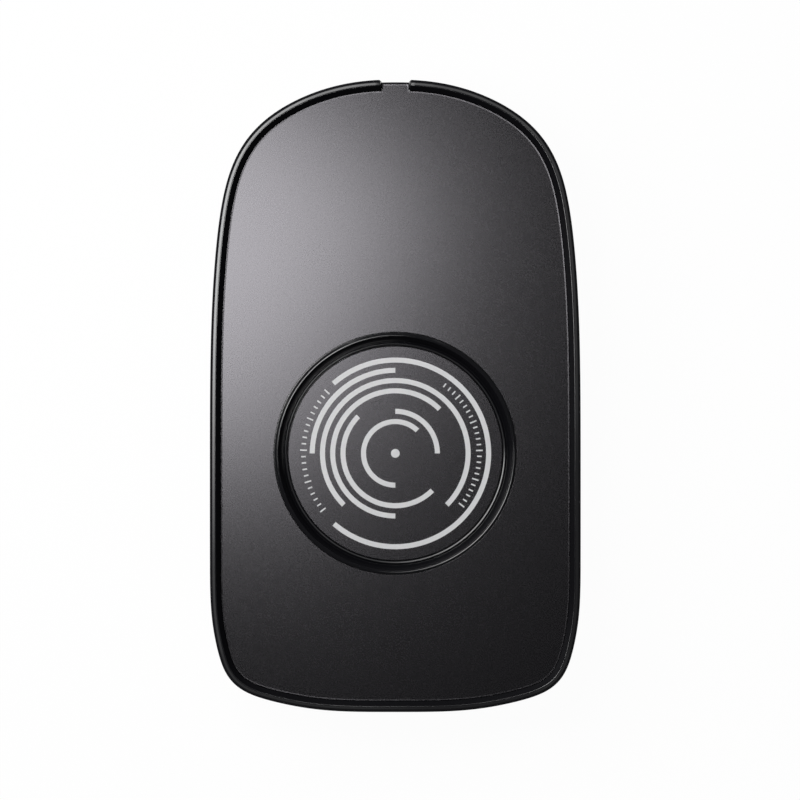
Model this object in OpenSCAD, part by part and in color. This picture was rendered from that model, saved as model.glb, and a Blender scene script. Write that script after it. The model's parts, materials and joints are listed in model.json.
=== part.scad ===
// Mouse jiggler: a tray with a slow turntable that turns under the sensor of a mouse.
// Millimetres. The origin is on the desk under the middle of the body, +Z is up,
// and +Y points to the nose, where the rim has a notch for the mouse's cable.

/* [Body] */
// Overall length of the body
body_l = 125; // [120:1:135]
// Overall width of the body
body_w = 73.3; // [72:0.1:80]
// Height from the desk to the top of the rim
body_h = 18; // [17.5:0.1:21]
// Distance from the tail end to the widest line of the outline
tail_l = 34.5; // [31:0.5:38]
// Thickness of the side wall
wall = 2; // [1.6:0.1:2.2]
// Width of the rim seen from above
rim_w = 2.3; // [2:0.1:3]
// Height of the rim above the panel
rim_lip = 1.6; // [1.2:0.1:2]
// Thickness of the deck under the panel
deck_t = 1.6; // [1.4:0.1:1.8]
// How far the side wall tucks in from the rim down to the parting line
side_tuck = 1.3; // [0.6:0.1:1.6]
// Height of the parting line above the desk
part_z = 5; // [4.6:0.1:5.4]
// Width of the cable notch in the rim
notch_w = 5.4; // [4.6:0.1:8]
// Thickness of the tray panel
panel_t = 0.8; // [0.6:0.1:1]

/* [Turntable] */
// Distance of the disc's centre from the nose end
disc_to_nose = 73.9; // [72:0.1:75]
// Radius of the disc
disc_r = 21.1; // [20.6:0.1:21.8]
// Depth of the disc's face below the panel
disc_drop = 1; // [0.8:0.1:1.2]
// Thickness of the disc
disc_t = 1.8; // [1.6:0.1:2]
// Gap between the disc and the bezel
disc_gap = 0.3; // [0.2:0.05:0.5]
// Width of the bezel from its bore to its outer edge
bezel_w = 2.5; // [2.2:0.1:3]
// Height of the bezel's crest above the panel
bezel_rise = 0.35; // [0.2:0.05:0.6]
// Width of a printed ring
ring_w = 1; // [0.6:0.1:1.4]
// Radius of the innermost printed ring
ring_first_r = 6.3; // [5.5:0.1:6.5]
// Distance from one printed ring to the next
ring_step = 2.03; // [1.9:0.01:2.05]
// Radius of the printed dot
dot_r = 0.87; // [0.5:0.01:1.5]

/* [Gears] */
// Module of all gears
gear_m = 0.5; // [0.48:0.01:0.5]
// Teeth of the gear under the disc
disc_teeth = 72; // [70:1:74]
// Teeth of the wheel in the middle of the train
middle_teeth = 40; // [38:1:42]
// Teeth of both pinions
pinion_teeth = 12; // [12:1:13]
// Teeth of the wheel that the worm drives
worm_wheel_teeth = 30; // [28:1:32]
// Pitch diameter of the worm
worm_d = 5; // [4.6:0.1:5.4]
// Play between the flanks of two gears
backlash = 0.14; // [0.1:0.01:0.2]
// Radius of the spindle
spindle_r = 1.5; // [1.2:0.1:1.6]
// Radius of the two axle pins
pin_r = 1; // [0.8:0.05:1.1]
// Radius of the motor's shaft
shaft_r = 0.5; // [0.4:0.05:0.6]
// Radial running clearance on pins and shafts
run_gap = 0.04; // [0.02:0.01:0.08]

/* [Motor] */
// Length of the motor's can
motor_l = 15; // [13:0.5:15.5]
// Width of the motor's can
motor_w = 12; // [11:0.5:12.5]
// Height of the motor's can over its two flats
motor_h = 10; // [9.6:0.1:10]

/* [Electronics] */
// Thickness of the circuit board
board_t = 1; // [0.8:0.1:1.2]
// Height of the board's underside above the cover's floor
board_lift = 3.6; // [3.5:0.1:3.8]
// Width of the power inlet's shell
inlet_w = 8.94; // [8.8:0.01:9]
// Height of the power inlet's shell
inlet_h = 3.26; // [3.1:0.01:3.3]
// Travel of the power switch
switch_travel = 2; // [1.5:0.1:2.2]

/* [Base] */
// Height of a rubber foot
foot_h = 1.2; // [1:0.1:1.4]
// Radius of a rubber foot
foot_r = 5; // [4:0.1:5.5]
// Thickness of the bottom cover
cover_t = 1.6; // [1.6:0.1:1.8]
// Radius of a case screw's head
screw_head_r = 2.4; // [2:0.1:2.5]
// Radius of a case screw's shank
screw_r = 1; // [0.8:0.05:1.1]

/* [Hidden] */

$fn = 64;
eps = 0.01;             // overlap of cutters past the face that they cut
seat_gap = 0.1;         // gap round a piece that drops into another
press_gap = 0.01;       // gap round a piece that is pressed into another
lie_gap = 0.05;         // gap between faces that slide on each other

// heights above the desk, from the feet up
foot_seat = 0.4;
cover_z = foot_h - foot_seat;
floor_z = cover_z + cover_t;
chassis_t = 1;
bed_z = floor_z + chassis_t;
axis_z = bed_z + motor_h / 2;
board_z = floor_z + board_lift;
board_top = board_z + board_t;

// heights above the desk, from the rim down
panel_top = body_h - rim_lip;
deck_top = panel_top - panel_t;
deck_under = deck_top - deck_t;
disc_top = panel_top - disc_drop;
disc_under = disc_top - disc_t;

// the gear train: sizes of the teeth and heights of the wheels
pressure = 20;
pinion_shift = 0.35;    // share of the module by which pinion teeth stand further out
worm_play = 0.2;
worm_wheel_w = 2.4;
worm_wheel_z = axis_z - worm_wheel_w / 2;
worm_wheel_top = worm_wheel_z + worm_wheel_w;
wheel_gap = 0.3;
wheel_w = 1.6;
middle_z = worm_wheel_top + wheel_gap;
middle_top = middle_z + wheel_w;
first_pinion_top = middle_top + wheel_gap;
disc_gear_z = disc_under - wheel_w;
second_pinion_top = disc_under - wheel_gap / 2;

// plan positions of the axes
nose_y = body_l / 2;
disc_at = [0, nose_y - disc_to_nose];
middle_dir = 120;
first_dir = 70;
disc_reach = gear_m * (disc_teeth + pinion_teeth) / 2;
middle_reach = gear_m * (middle_teeth + pinion_teeth) / 2;
worm_reach = (gear_m * worm_wheel_teeth + worm_d) / 2;
middle_at = disc_at + disc_reach * [cos(middle_dir), sin(middle_dir)];
first_at = middle_at + middle_reach * [cos(first_dir), sin(first_dir)];
worm_y = first_at.y + worm_reach;
worm_lead = PI * gear_m;

// the outline of the body: two halves of a superellipse that meet at the widest line
widest_y = tail_l - nose_y;
nose_form = [2.321, 6.526];     // exponents across and along, nose side
tail_form = [3.566, 5.266];     // exponents across and along, tail side
nose_steps = 30;
tail_steps = 20;
side_lead = 0.25;               // share of even steps along the nose side

// a point of a quarter outline and its outward normal, at s from the side to the end
function quarter(s, reach, form) =
    let (
        across = pow(cos(90 * s), 2 / form[0]),
        along = pow(sin(90 * s), 2 / form[1]),
        lean = [form[0] / (body_w / 2) * pow(across, form[0] - 1),
                form[1] / reach * pow(along, form[1] - 1)]
    )
    [body_w / 2 * across, reach * along, lean / norm(lean)];

// the point drawn in by inset, on the side and end that the signs give
function placed(q, inset, side, end) =
    [side * (q[0] - inset * q[2].x), widest_y + end * (q[1] - inset * q[2].y)];

function nose_point(i, inset, side) =
    let (s = i / nose_steps)
    placed(quarter(side_lead * s + (1 - side_lead) * pow(s, 3), body_l - tail_l, nose_form),
           inset, side, 1);

function tail_point(i, inset, side) =
    placed(quarter(i / tail_steps, tail_l, tail_form), inset, side, -1);

// the whole outline, counter-clockwise from the widest point on the right
function outline(inset = 0) = [
    for (i = [0 : nose_steps - 1]) nose_point(i, inset, 1),
    for (i = [nose_steps : -1 : 1]) nose_point(i, inset, -1),
    for (i = [0 : tail_steps - 1]) tail_point(i, inset, -1),
    for (i = [tail_steps : -1 : 1]) tail_point(i, inset, 1)
];

// half the width of the outline at y, and its y at x on the nose side
function half_width(y) =
    body_w / 2 * pow(1 - pow(abs(y - widest_y) / (y > widest_y ? body_l - tail_l : tail_l),
                             (y > widest_y ? nose_form : tail_form)[1]),
                     1 / (y > widest_y ? nose_form : tail_form)[0]);

// a solid from rings of [inset, z]: its skin runs from the first ring, which is capped,
// over the outside to the last one, which is capped too
module shell_stack(rings) {
    around = 2 * (nose_steps + tail_steps);
    last = len(rings) - 1;
    polyhedron(
        points = [for (ring = rings) for (p = outline(ring[0])) [p.x, p.y, ring[1]]],
        faces = [
            [for (i = [around - 1 : -1 : 0]) i],
            for (k = [0 : last - 1]) for (i = [0 : around - 1])
                let (j = (i + 1) % around, upper = k * around, lower = upper + around)
                each [[upper + i, upper + j, lower + j], [upper + i, lower + j, lower + i]],
            [for (i = [0 : around - 1]) last * around + i]
        ]
    );
}

// the side of the body: how far it lies inside the outline at height z
round_z = body_h - 1.6;         // where the rim's outer rounding starts
function tuck(z) = side_tuck * pow((round_z - z) / (round_z - part_z), 2);

module at_each(places) {
    for (p = places)
        translate(p)
            children();
}

// a peg or a cutter for a hole, from z1 to z2
module post(r, z1, z2) {
    translate([0, 0, z1])
        cylinder(r = r, h = z2 - z1);
}

// a flat bar with rounded corners, centred in plan
module rounded_plate(size, r, z1, z2) {
    translate([0, 0, z1])
        linear_extrude(z2 - z1) {
            square([size.x - 2 * r, size.y], center = true);
            square([size.x, size.y - 2 * r], center = true);
            for (sx = [-1, 1], sy = [-1, 1])
                translate([sx * (size.x / 2 - r), sy * (size.y / 2 - r)])
                    circle(r);
        }
}

// a screw with a domed head that points up, its seat at z
module pan_screw(r, head_r, head_h, length, z) {
    dome = head_h / 3;
    union() {
        post(r, z - length, z + eps);
        post(head_r, z, z + head_h - dome);
        translate([0, 0, z + head_h - dome])
            cylinder(r1 = head_r, r2 = head_r - dome, h = dome);
    }
}

// ---- screws that hold the case, the chassis and the board

case_boss_r = 3;
case_pad_h = 0.8;
case_seat_z = floor_z + case_pad_h;
head_pocket = 1;
case_nose_y = nose_y - 12.5;
case_tail_y = 24.5 - nose_y;
case_places = [
    for (side = [-1, 1])
        each [[side * 18, case_nose_y], [side * (body_w / 2 - 11.15), case_tail_y]]
];
case_screw_l = 7.2;

foot_places = [
    for (side = [-1, 1])
        each [[side * (body_w / 2 - 13.65), nose_y - 21.5], [side * (body_w / 2 - 14.65), 11.5 - nose_y]]
];

chassis_post_h = 2.6;
chassis_boss_r = 2.1;
chassis_web = 1;
small_screw_r = 0.8;
small_head_r = 1.6;
small_head_h = 1;
small_screw_l = 3;
chassis_places = [
    [-15.5, disc_at.y - 5], [15.5, disc_at.y - 5], [first_at.x - 13, worm_y + 3], [17, worm_y - 13]
];

// ---- the circuit board's outline and what stands on it

tab_off = 3;
lead_r = 0.4;
lead_gap = 0.5;         // clearance between the rear lead and the switch
inlet_mouth_y = nose_y - 1.6;
inlet_l = 7.3;
inlet_z = board_top + inlet_h / 2;
board_nose_y = nose_y - 5;
arm_x = 22.5;
arm_out_x = body_w / 2 - 6.15;
switch_size = [3.7, 8.6, 3.4];
switch_wall = 0.5;
switch_y = worm_y - tab_off - lead_r - lead_gap - switch_size.y;
arm_tail_y = switch_y - 2;
board_points = [
    [-13, board_nose_y - 16], [arm_x, board_nose_y - 16], [arm_x, arm_tail_y],
    [arm_out_x, arm_tail_y], [arm_out_x, board_nose_y - 21.5], [arm_x + 2.5, board_nose_y - 11.3],
    [13.5, board_nose_y - 11.3], [13.5, board_nose_y], [-13, board_nose_y]
];
board_places = [[-10.4, board_nose_y - 13.4], [10.9, board_nose_y - 4.2], [arm_x + 2.6, board_nose_y - 18]];

switch_at = [arm_out_x - 0.2 - switch_size.x, switch_y];
slider_w = 2;
slider_h = 1.5;
slider_z = board_top + switch_size.z / 2;
slider_tip_x = half_width(switch_at.y + switch_size.y / 2) - tuck(slider_z) + 0.2;

// ---- the motor and its shaft, which lie along X at worm_y and axis_z

can_wall = 0.5;
can_x = first_at.x + 9.6;
can_end_x = can_x + motor_l;
nose_boss_r = 2;
nose_boss_l = 0.8;
cap_l = 1.8;
post_x = first_at.x - 8.2;
post_w = 1.5;
clamp_t = 0.4;
clamp_w = 5;
clamp_ear = 4.4;
clamp_ear_z = axis_z - 0.4;
clamp_x = (can_x + can_end_x) / 2;
ear_y = motor_w / 2 + seat_gap + clamp_t + clamp_ear / 2;

// turns what is drawn round +Z so that it lies round the motor's axis, from x on
module along_motor(x) {
    translate([x, worm_y, axis_z])
        rotate([0, 90, 0])
            children();
}

module can_form(r, flat, length) {
    intersection() {
        cylinder(r = r, h = length);
        translate([-flat / 2, -r, 0])
            cube([flat, 2 * r, length]);
    }
}

// ---- casing

rim_crest = rim_w / 2;
crest_steps = 5;
barrel_steps = 4;
rim_foot_z = panel_top - 0.25;

function rim_outer() = [
    for (k = [1 : crest_steps])
        let (a = 90 * k / crest_steps)
        [rim_crest * (1 - sin(a)), body_h - (body_h - round_z) * (1 - cos(a))]
];

function rim_inner() = [
    for (k = [crest_steps : -1 : 0])
        let (a = 60 * k / crest_steps)
        [rim_crest + rim_crest * 0.62 * sin(a), body_h - 1.3 * (1 - cos(a))]
];

function casing_rings() = concat(
    [[rim_w, deck_top], [rim_w, rim_foot_z]],
    rim_inner(),
    rim_outer(),
    [for (k = [1 : barrel_steps]) let (z = round_z + (part_z - round_z) * k / barrel_steps) [tuck(z), z]],
    [for (k = [barrel_steps : -1 : 2]) let (z = round_z + (part_z - round_z) * k / barrel_steps)
        [tuck(z) + wall, z]],
    [[max(rim_w, wall) + 0.2, deck_under]]
);

// The notch flares by a chamfer at the rim's outer and inner faces.
notch_flare = 0.5;
module notch_cutter() {
    half_w = notch_w / 2;
    flared_w = half_w + notch_flare;
    out_y = nose_y - notch_flare;
    in_y = nose_y - rim_w + notch_flare;
    mouth_y = nose_y + 1;
    back_y = nose_y - rim_w - 1;
    translate([0, 0, deck_top])
        linear_extrude(body_h)
            polygon([[half_w, out_y], [flared_w, nose_y], [flared_w, mouth_y],
                     [-flared_w, mouth_y], [-flared_w, nose_y], [-half_w, out_y],
                     [-half_w, in_y], [-flared_w, in_y - notch_flare], [-flared_w, back_y],
                     [flared_w, back_y], [flared_w, in_y - notch_flare], [half_w, in_y]]);
}

well_r = disc_r + disc_gap + 1.2;
inlet_gap = 0.3;
module inlet_cutter() {
    half_w = inlet_w / 2 + inlet_gap;
    half_h = inlet_h / 2 + inlet_gap;
    translate([0, nose_y + 1, inlet_z])
        rotate([90, 0, 0])
            linear_extrude(wall + side_tuck + 2.5) {
                square([2 * (half_w - half_h), 2 * half_h], center = true);
                for (side = [-1, 1])
                    translate([side * (half_w - half_h), 0])
                        circle(half_h);
            }
}

slot_gap = 0.3;
pocket_margin = 2.4;
module switch_cutter() {
    mid_y = switch_at.y + switch_size.y / 2;
    slot_l = slider_w + switch_travel + 2 * slot_gap;
    slot_h = slider_h + 2 * slot_gap;
    translate([slider_tip_x - wall - 2, mid_y - slot_l / 2, slider_z - slot_h / 2])
        cube([wall + 6, slot_l, slot_h]);
    translate([slider_tip_x - 0.9, mid_y, slider_z])
        rotate([0, 90, 0])
            rounded_plate([slot_h + pocket_margin, slot_l + 2 * pocket_margin], 1, 0, 4);
}

rib_t = 1;
rib_h = 2;
keeper_r = 2.2;
keeper_z = first_pinion_top + 0.2;
pilot_l = 9;
module top_casing() {
    color([0.03, 0.03, 0.035])
    difference() {
        union() {
            shell_stack(casing_rings());
            at_each(case_places)
                post(case_boss_r, case_seat_z + lie_gap, deck_under + eps);
            translate(first_at)
                post(keeper_r, keeper_z, deck_under + eps);
            for (side = [-1, 1])
                translate([side * 12 - rib_t / 2, 8 - nose_y, deck_under - rib_h])
                    cube([rib_t, 14, rib_h + eps]);
            translate([-12, 15 - nose_y, deck_under - rib_h])
                cube([24, rib_t, rib_h + eps]);
        }
        translate(disc_at)
            post(well_r, deck_under - 1, body_h);
        at_each(case_places)
            post(screw_r + press_gap, case_seat_z - 1, case_seat_z + pilot_l);
        translate(first_at)
            post(pin_r + press_gap, keeper_z - 1, deck_under);
        notch_cutter();
        inlet_cutter();
        switch_cutter();
    }
}

// ---- tray panel

panel_edge = rim_w + seat_gap;
panel_bevel = 0.25;
bezel_out_r = disc_r + disc_gap + bezel_w;
module tray_panel() {
    color([0.2, 0.2, 0.22])
    difference() {
        union() {
            shell_stack([[panel_edge + panel_bevel, panel_top], [panel_edge, panel_top - panel_bevel],
                         [panel_edge, deck_top]]);
            translate([seat_gap - notch_w / 2, nose_y - rim_w - 2, deck_top])
                cube([notch_w - 2 * seat_gap, rim_w + 2 - 0.5, panel_t]);
        }
        translate(disc_at)
            post(bezel_out_r + seat_gap, deck_top - 1, body_h);
    }
}

// ---- bezel round the disc

bezel_step = 0.7;
module disc_bezel() {
    bore = disc_r + disc_gap;
    skirt = well_r - seat_gap;
    crest = panel_top + bezel_rise;
    soft = 0.25;
    color([0.02, 0.02, 0.025])
    translate(disc_at)
        rotate_extrude($fn = 96)
            polygon([
                [bore, deck_under], [skirt, deck_under], [skirt, deck_top], [bezel_out_r, deck_top],
                [bezel_out_r, crest - soft], [bezel_out_r - soft * 0.3, crest - soft * 0.3],
                [bezel_out_r - soft, crest], [bezel_out_r - 2 * soft, crest],
                [bezel_out_r - 3 * soft, crest - soft * 0.6], [bore + bezel_step, disc_top + 0.55],
                [bore + bezel_step - 0.2, disc_top + 0.35], [bore, disc_top + 0.2]
            ]);
}

// ---- disc, rings and the gear under the disc

disc_bevel = 0.3;
clip_well_r = 3.4;
clip_well_h = 1.2;
peg_r = 1;
peg_at_r = 10;
peg_l = wheel_w;
module turntable_disc() {
    color([0.12, 0.12, 0.13])
    translate(disc_at) {
        difference() {
            union() {
                post(disc_r, disc_under, disc_top - disc_bevel);
                translate([0, 0, disc_top - disc_bevel])
                    cylinder(r1 = disc_r, r2 = disc_r - disc_bevel, h = disc_bevel);
            }
            post(clip_well_r, disc_under - 1, disc_under + clip_well_h);
        }
        for (turn = [0, 120, 240])
            rotate(turn)
                translate([peg_at_r, 0])
                    post(peg_r, disc_under - peg_l, disc_under + eps);
    }
}

ink_t = 0.05;
// start and sweep of each broken ring, from the innermost out
ring_arcs = [[46, 224], [0, 90], [135, 180], [45, 225], [315, 270], [90, 90], [229, 262.5]];
module ring_arc(r, from, sweep) {
    rotate(from)
        rotate_extrude(angle = sweep, $fn = 96)
            translate([r - ring_w / 2, 0])
                square([ring_w, ink_t]);
}
module printed_rings() {
    color([0.8, 0.8, 0.81])
    translate([disc_at.x, disc_at.y, disc_top]) {
        cylinder(r = dot_r, h = ink_t);
        for (k = [0 : len(ring_arcs) - 1])
            ring_arc(ring_first_r + k * ring_step, ring_arcs[k][0], ring_arcs[k][1]);
    }
}

function inv_deg(base, r) = r > base ? let (a = acos(base / r)) tan(a) * 180 / PI - a : 0;

// the outline of a spur gear with involute flanks and its first tooth centred on +X
function gear_points(teeth, shift, play) =
    let (
        pitch = gear_m * teeth / 2,
        base = pitch * cos(pressure),
        tip = pitch + (1 + shift) * gear_m,
        root = pitch - (1.25 - shift) * gear_m,
        start = max(base, root),
        half = (90 + 2 * shift * tan(pressure) * 180 / PI) / teeth
             - play / 4 / pitch * 180 / PI + inv_deg(base, pitch),
        flank = [for (k = [0 : 2]) let (r = start + (tip - start) * k / 2) [r, half - inv_deg(base, r)]],
        low = root < start - eps ? [[root, flank[0][1]]] : [],
        side = concat(low, flank),
        n = len(side)
    )
    [for (i = [0 : teeth - 1])
        let (mid = 360 * i / teeth)
        each concat(
            [for (k = [0 : n - 1]) side[k][0] * [cos(mid - side[k][1]), sin(mid - side[k][1])]],
            [for (k = [n - 1 : -1 : 0]) side[k][0] * [cos(mid + side[k][1]), sin(mid + side[k][1])]]
        )];

module gear(teeth, shift, z1, z2) {
    translate([0, 0, z1])
        linear_extrude(z2 - z1)
            polygon(gear_points(teeth, shift, backlash));
}

// how far a gear is turned so that its teeth fall between those of the gear before it
function mesh_turn(dir, turn_before, teeth_before, teeth) =
    dir + 180 - (turn_before - dir) * teeth_before / teeth + 180 / teeth;

disc_gear_turn = 0;
second_pinion_turn = mesh_turn(middle_dir, disc_gear_turn, disc_teeth, pinion_teeth);
middle_turn = 0;
first_pinion_turn = mesh_turn(first_dir, middle_turn, middle_teeth, pinion_teeth);

hub_r = 4.5;
bush_r = spindle_r + 1;
hub_z = middle_z + 0.1;
washer_t = 0.3;
web_window_r = 3.2;
module turntable_gear() {
    color([0.85, 0.85, 0.8])
    translate(disc_at)
        difference() {
            union() {
                rotate(disc_gear_turn)
                    gear(disc_teeth, -pinion_shift, disc_gear_z, disc_under);
                post(hub_r, hub_z, disc_under);
            }
            post(bush_r + press_gap, hub_z - 1, disc_under + 1);
            for (turn = [0, 120, 240])
                rotate(turn)
                    translate([peg_at_r, 0])
                        post(peg_r + press_gap, disc_gear_z - 1, disc_under + 1);
            for (turn = [60, 180, 300])
                rotate(turn)
                    translate([peg_at_r, 0])
                        post(web_window_r, disc_gear_z - 1, disc_under + 1);
        }
}

bush_over = 0.25;
groove_depth = 0.3;
clip_t = 0.4;
clip_z = disc_under + bush_over + lie_gap;
spindle_top = clip_z + clip_t + 0.3;
module spindle() {
    color([0.75, 0.76, 0.78])
    translate(disc_at)
        difference() {
            post(spindle_r, floor_z + 0.1, spindle_top);
            difference() {
                post(spindle_r + 1, clip_z, clip_z + clip_t);
                post(spindle_r - groove_depth, clip_z - 1, clip_z + clip_t + 1);
            }
        }
}

module spindle_bush() {
    color([0.72, 0.58, 0.3])
    translate(disc_at)
        difference() {
            post(bush_r, hub_z, disc_under + bush_over);
            post(spindle_r + run_gap, hub_z - 1, disc_under + 2);
        }
}

module thrust_washer() {
    color([0.9, 0.9, 0.86])
    translate(disc_at)
        difference() {
            post(spindle_r + 1.6, hub_z - lie_gap - washer_t, hub_z - lie_gap);
            post(spindle_r + run_gap, hub_z - 2, hub_z + 1);
        }
}

clip_mouth = 1.6;
module retaining_clip() {
    color([0.5, 0.5, 0.52])
    translate(disc_at)
        difference() {
            post(spindle_r + 1.2, clip_z + press_gap, clip_z + clip_t - press_gap);
            post(spindle_r - groove_depth + press_gap, clip_z - 1, clip_z + 1);
            translate([0, -clip_mouth / 2, clip_z - 1])
                cube([2 * spindle_r + 2, clip_mouth, 2]);
        }
}

// ---- chassis

boss_gap = 0.1;
plate_low = [-23.2, disc_at.y - 9.4];
plate_high = [21.6, worm_y + ear_y + 2.4];
axle_boss_r = 3;
spindle_boss_r = 4;
rail_h = 3.6;
rail_t = 1.2;
ear_boss_r = 2.1;
gusset_t = 1;
gusset_l = 7;
post_r = 3;
module chassis_post() {
    top = floor_z + chassis_post_h + chassis_web + lie_gap;
    difference() {
        post(chassis_boss_r + seat_gap + 1, floor_z + lie_gap, top);
        post(chassis_boss_r + seat_gap, floor_z - 1, floor_z + chassis_post_h + lie_gap);
        post(small_screw_r + seat_gap, floor_z - 1, top + 1);
    }
}
module gearbox_chassis() {
    color([0.3, 0.32, 0.34]) {
        difference() {
            union() {
                translate((plate_low + plate_high) / 2)
                    rounded_plate(plate_high - plate_low, 4, floor_z + lie_gap, bed_z);
                translate(disc_at) {
                    post(spindle_boss_r, bed_z - eps, hub_z - lie_gap - washer_t);
                    for (turn = [45 : 90 : 315])
                        rotate(turn)
                            translate([0, -gusset_t / 2, bed_z - eps])
                                cube([gusset_l, gusset_t, 2.5]);
                }
                translate(middle_at)
                    post(axle_boss_r, bed_z - eps, middle_z - boss_gap);
                translate(first_at)
                    post(axle_boss_r, bed_z - eps, worm_wheel_z - boss_gap);
                for (side = [-1, 1]) {
                    translate([clamp_x, worm_y + side * ear_y])
                        post(ear_boss_r, bed_z - eps, clamp_ear_z);
                    for (x = [can_x + 0.5, clamp_x + clamp_w / 2 + 0.5])
                        translate([x, worm_y + side * (motor_w / 2 + seat_gap + rail_t / 2) - rail_t / 2,
                                   bed_z - eps])
                            cube([clamp_x - clamp_w / 2 - can_x - 1, rail_t, rail_h]);
                }
                translate([post_x - post_w, worm_y - post_r, bed_z - eps])
                    cube([post_w, 2 * post_r, axis_z - bed_z]);
                along_motor(post_x - post_w)
                    cylinder(r = post_r, h = post_w);
            }
            at_each(chassis_places)
                post(chassis_boss_r + seat_gap + 0.5, floor_z - 1, bed_z + 1);
            translate(disc_at)
                post(spindle_r + press_gap, floor_z - 1, hub_z);
            translate(middle_at)
                post(pin_r + press_gap, floor_z - 1, middle_z);
            translate(first_at)
                post(pin_r + press_gap, floor_z - 1, worm_wheel_z);
            for (side = [-1, 1])
                translate([clamp_x, worm_y + side * ear_y])
                    post(small_screw_r + press_gap, clamp_ear_z - small_screw_l - 0.5, clamp_ear_z + 1);
            along_motor(post_x - post_w - 1)
                cylinder(r = shaft_r + run_gap, h = post_w + 2);
            translate([9, disc_at.y + 17.5])
                post(6, floor_z - 1, bed_z + 1);
            translate([-15, disc_at.y + 7])
                post(4, floor_z - 1, bed_z + 1);
        }
        at_each(chassis_places)
            chassis_post();
    }
}

module chassis_screws() {
    color([0.7, 0.7, 0.72])
    at_each(chassis_places)
        pan_screw(small_screw_r, small_head_r, small_head_h, small_screw_l,
                  floor_z + chassis_post_h + chassis_web + lie_gap);
}

// ---- gears between the worm and the disc

helix = atan(worm_lead / (PI * worm_d));
wheel_pitch_r = gear_m * worm_wheel_teeth / 2;
wheel_twist = worm_wheel_w * tan(helix) / wheel_pitch_r * 180 / PI;
module worm_wheel_gear() {
    color([0.9, 0.88, 0.8])
    translate(first_at)
        difference() {
            union() {
                translate([0, 0, worm_wheel_z])
                    rotate(90 - wheel_twist / 2)
                        linear_extrude(worm_wheel_w, twist = -wheel_twist, slices = 2)
                            polygon(gear_points(worm_wheel_teeth, 0, worm_play));
                rotate(first_pinion_turn)
                    gear(pinion_teeth, pinion_shift, worm_wheel_top - eps, first_pinion_top);
            }
            post(pin_r + run_gap, worm_wheel_z - 1, first_pinion_top + 1);
        }
}

module intermediate_gear() {
    color([0.9, 0.88, 0.8])
    translate(middle_at)
        difference() {
            union() {
                rotate(middle_turn)
                    gear(middle_teeth, -pinion_shift, middle_z, middle_top);
                rotate(second_pinion_turn)
                    gear(pinion_teeth, pinion_shift, middle_top - eps, second_pinion_top);
            }
            post(pin_r + run_gap, middle_z - 1, second_pinion_top + 1);
        }
}

module axle_pins() {
    color([0.78, 0.79, 0.8]) {
        translate(middle_at)
            post(pin_r, floor_z + 0.1, second_pinion_top - 0.1);
        translate(first_at)
            post(pin_r, floor_z + 0.1, keeper_z + 1);
    }
}

// ---- worm: one skin over the core and its single thread, swept along a helix

thread_turns = 6.5;
steps_a_turn = 16;
thread_tip_r = worm_d / 2 + gear_m;
thread_root_r = worm_d / 2 - 1.25 * gear_m;
core_over = 0.5;                // how far the core runs on past the thread
worm_half_l = (thread_turns + 1) / 2 * worm_lead + core_over;

// half the thread's width at radius r
function thread_half(r) = worm_lead / 4 - worm_play / 4 - (r - worm_d / 2) * tan(pressure);

// a point at radius r and height z on the ray of step i
function on_ray(i, r, z) =
    let (a = 360 * i / steps_a_turn)
    [r * cos(a), r * sin(a), z];
function rise(i) = worm_lead * i / steps_a_turn;

module worm_form() {
    last = thread_turns * steps_a_turn;
    turn = steps_a_turn;
    section = [[thread_root_r, -thread_half(thread_root_r)], [thread_tip_r, -thread_half(thread_tip_r)],
               [thread_tip_r, thread_half(thread_tip_r)], [thread_root_r, thread_half(thread_root_r)]];
    // the numbers of the points: between two turns, on the thread, and round both ends
    function foot(i) = i;
    function ridge(i, k) = last + turn + 1 + 4 * i + k;
    function low(i) = ridge(last + 1, 0) + i % turn;
    function high(i) = low(0) + turn + i % turn;
    function row(i) = [foot(i), for (k = [0 : 3]) ridge(i, k), foot(i + turn)];
    function patch(a, b, c, d) = [[a, b, c], [a, c, d]];
    polyhedron(
        points = [
            for (i = [0 : last + turn]) on_ray(i, thread_root_r, rise(i) - worm_lead / 2),
            for (i = [0 : last]) for (p = section) on_ray(i, p[0], rise(i) + p[1]),
            for (i = [0 : turn - 1]) on_ray(i, thread_root_r, -worm_lead / 2 - core_over),
            for (i = [0 : turn - 1]) on_ray(last + i, thread_root_r, rise(last) + worm_lead / 2 + core_over)
        ],
        faces = [
            // the thread and the floor beside it, turn by turn
            for (i = [0 : last - 1]) for (k = [0 : 4])
                each patch(row(i)[k], row(i + 1)[k], row(i + 1)[k + 1], row(i)[k + 1]),
            // the two faces in which the thread ends
            [for (k = [0 : 3]) ridge(0, k)],
            [for (k = [3 : -1 : 0]) ridge(last, k)],
            // the core below the first turn
            for (i = [0 : turn - 2]) each patch(low(i), low(i + 1), foot(i + 1), foot(i)),
            [low(turn - 1), low(0), foot(0)], [low(turn - 1), foot(0), foot(turn - 1)],
            [foot(0), ridge(0, 0), foot(turn - 1)], [ridge(0, 0), ridge(0, 3), foot(turn - 1)],
            [ridge(0, 3), foot(turn), foot(turn - 1)],
            [for (i = [turn - 1 : -1 : 0]) low(i)],
            // the core above the last turn
            for (i = [1 : turn - 1])
                each patch(foot(last + i), foot(last + i + 1), high(i + 1), high(i)),
            [foot(last), foot(last + 1), ridge(last, 0)], [ridge(last, 0), foot(last + 1), ridge(last, 3)],
            [ridge(last, 3), foot(last + 1), foot(last + turn)], [foot(last + 1), high(1), foot(last + turn)],
            [high(1), high(0), foot(last + turn)],
            [for (i = [0 : turn - 1]) high(i)]
        ]
    );
}

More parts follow.
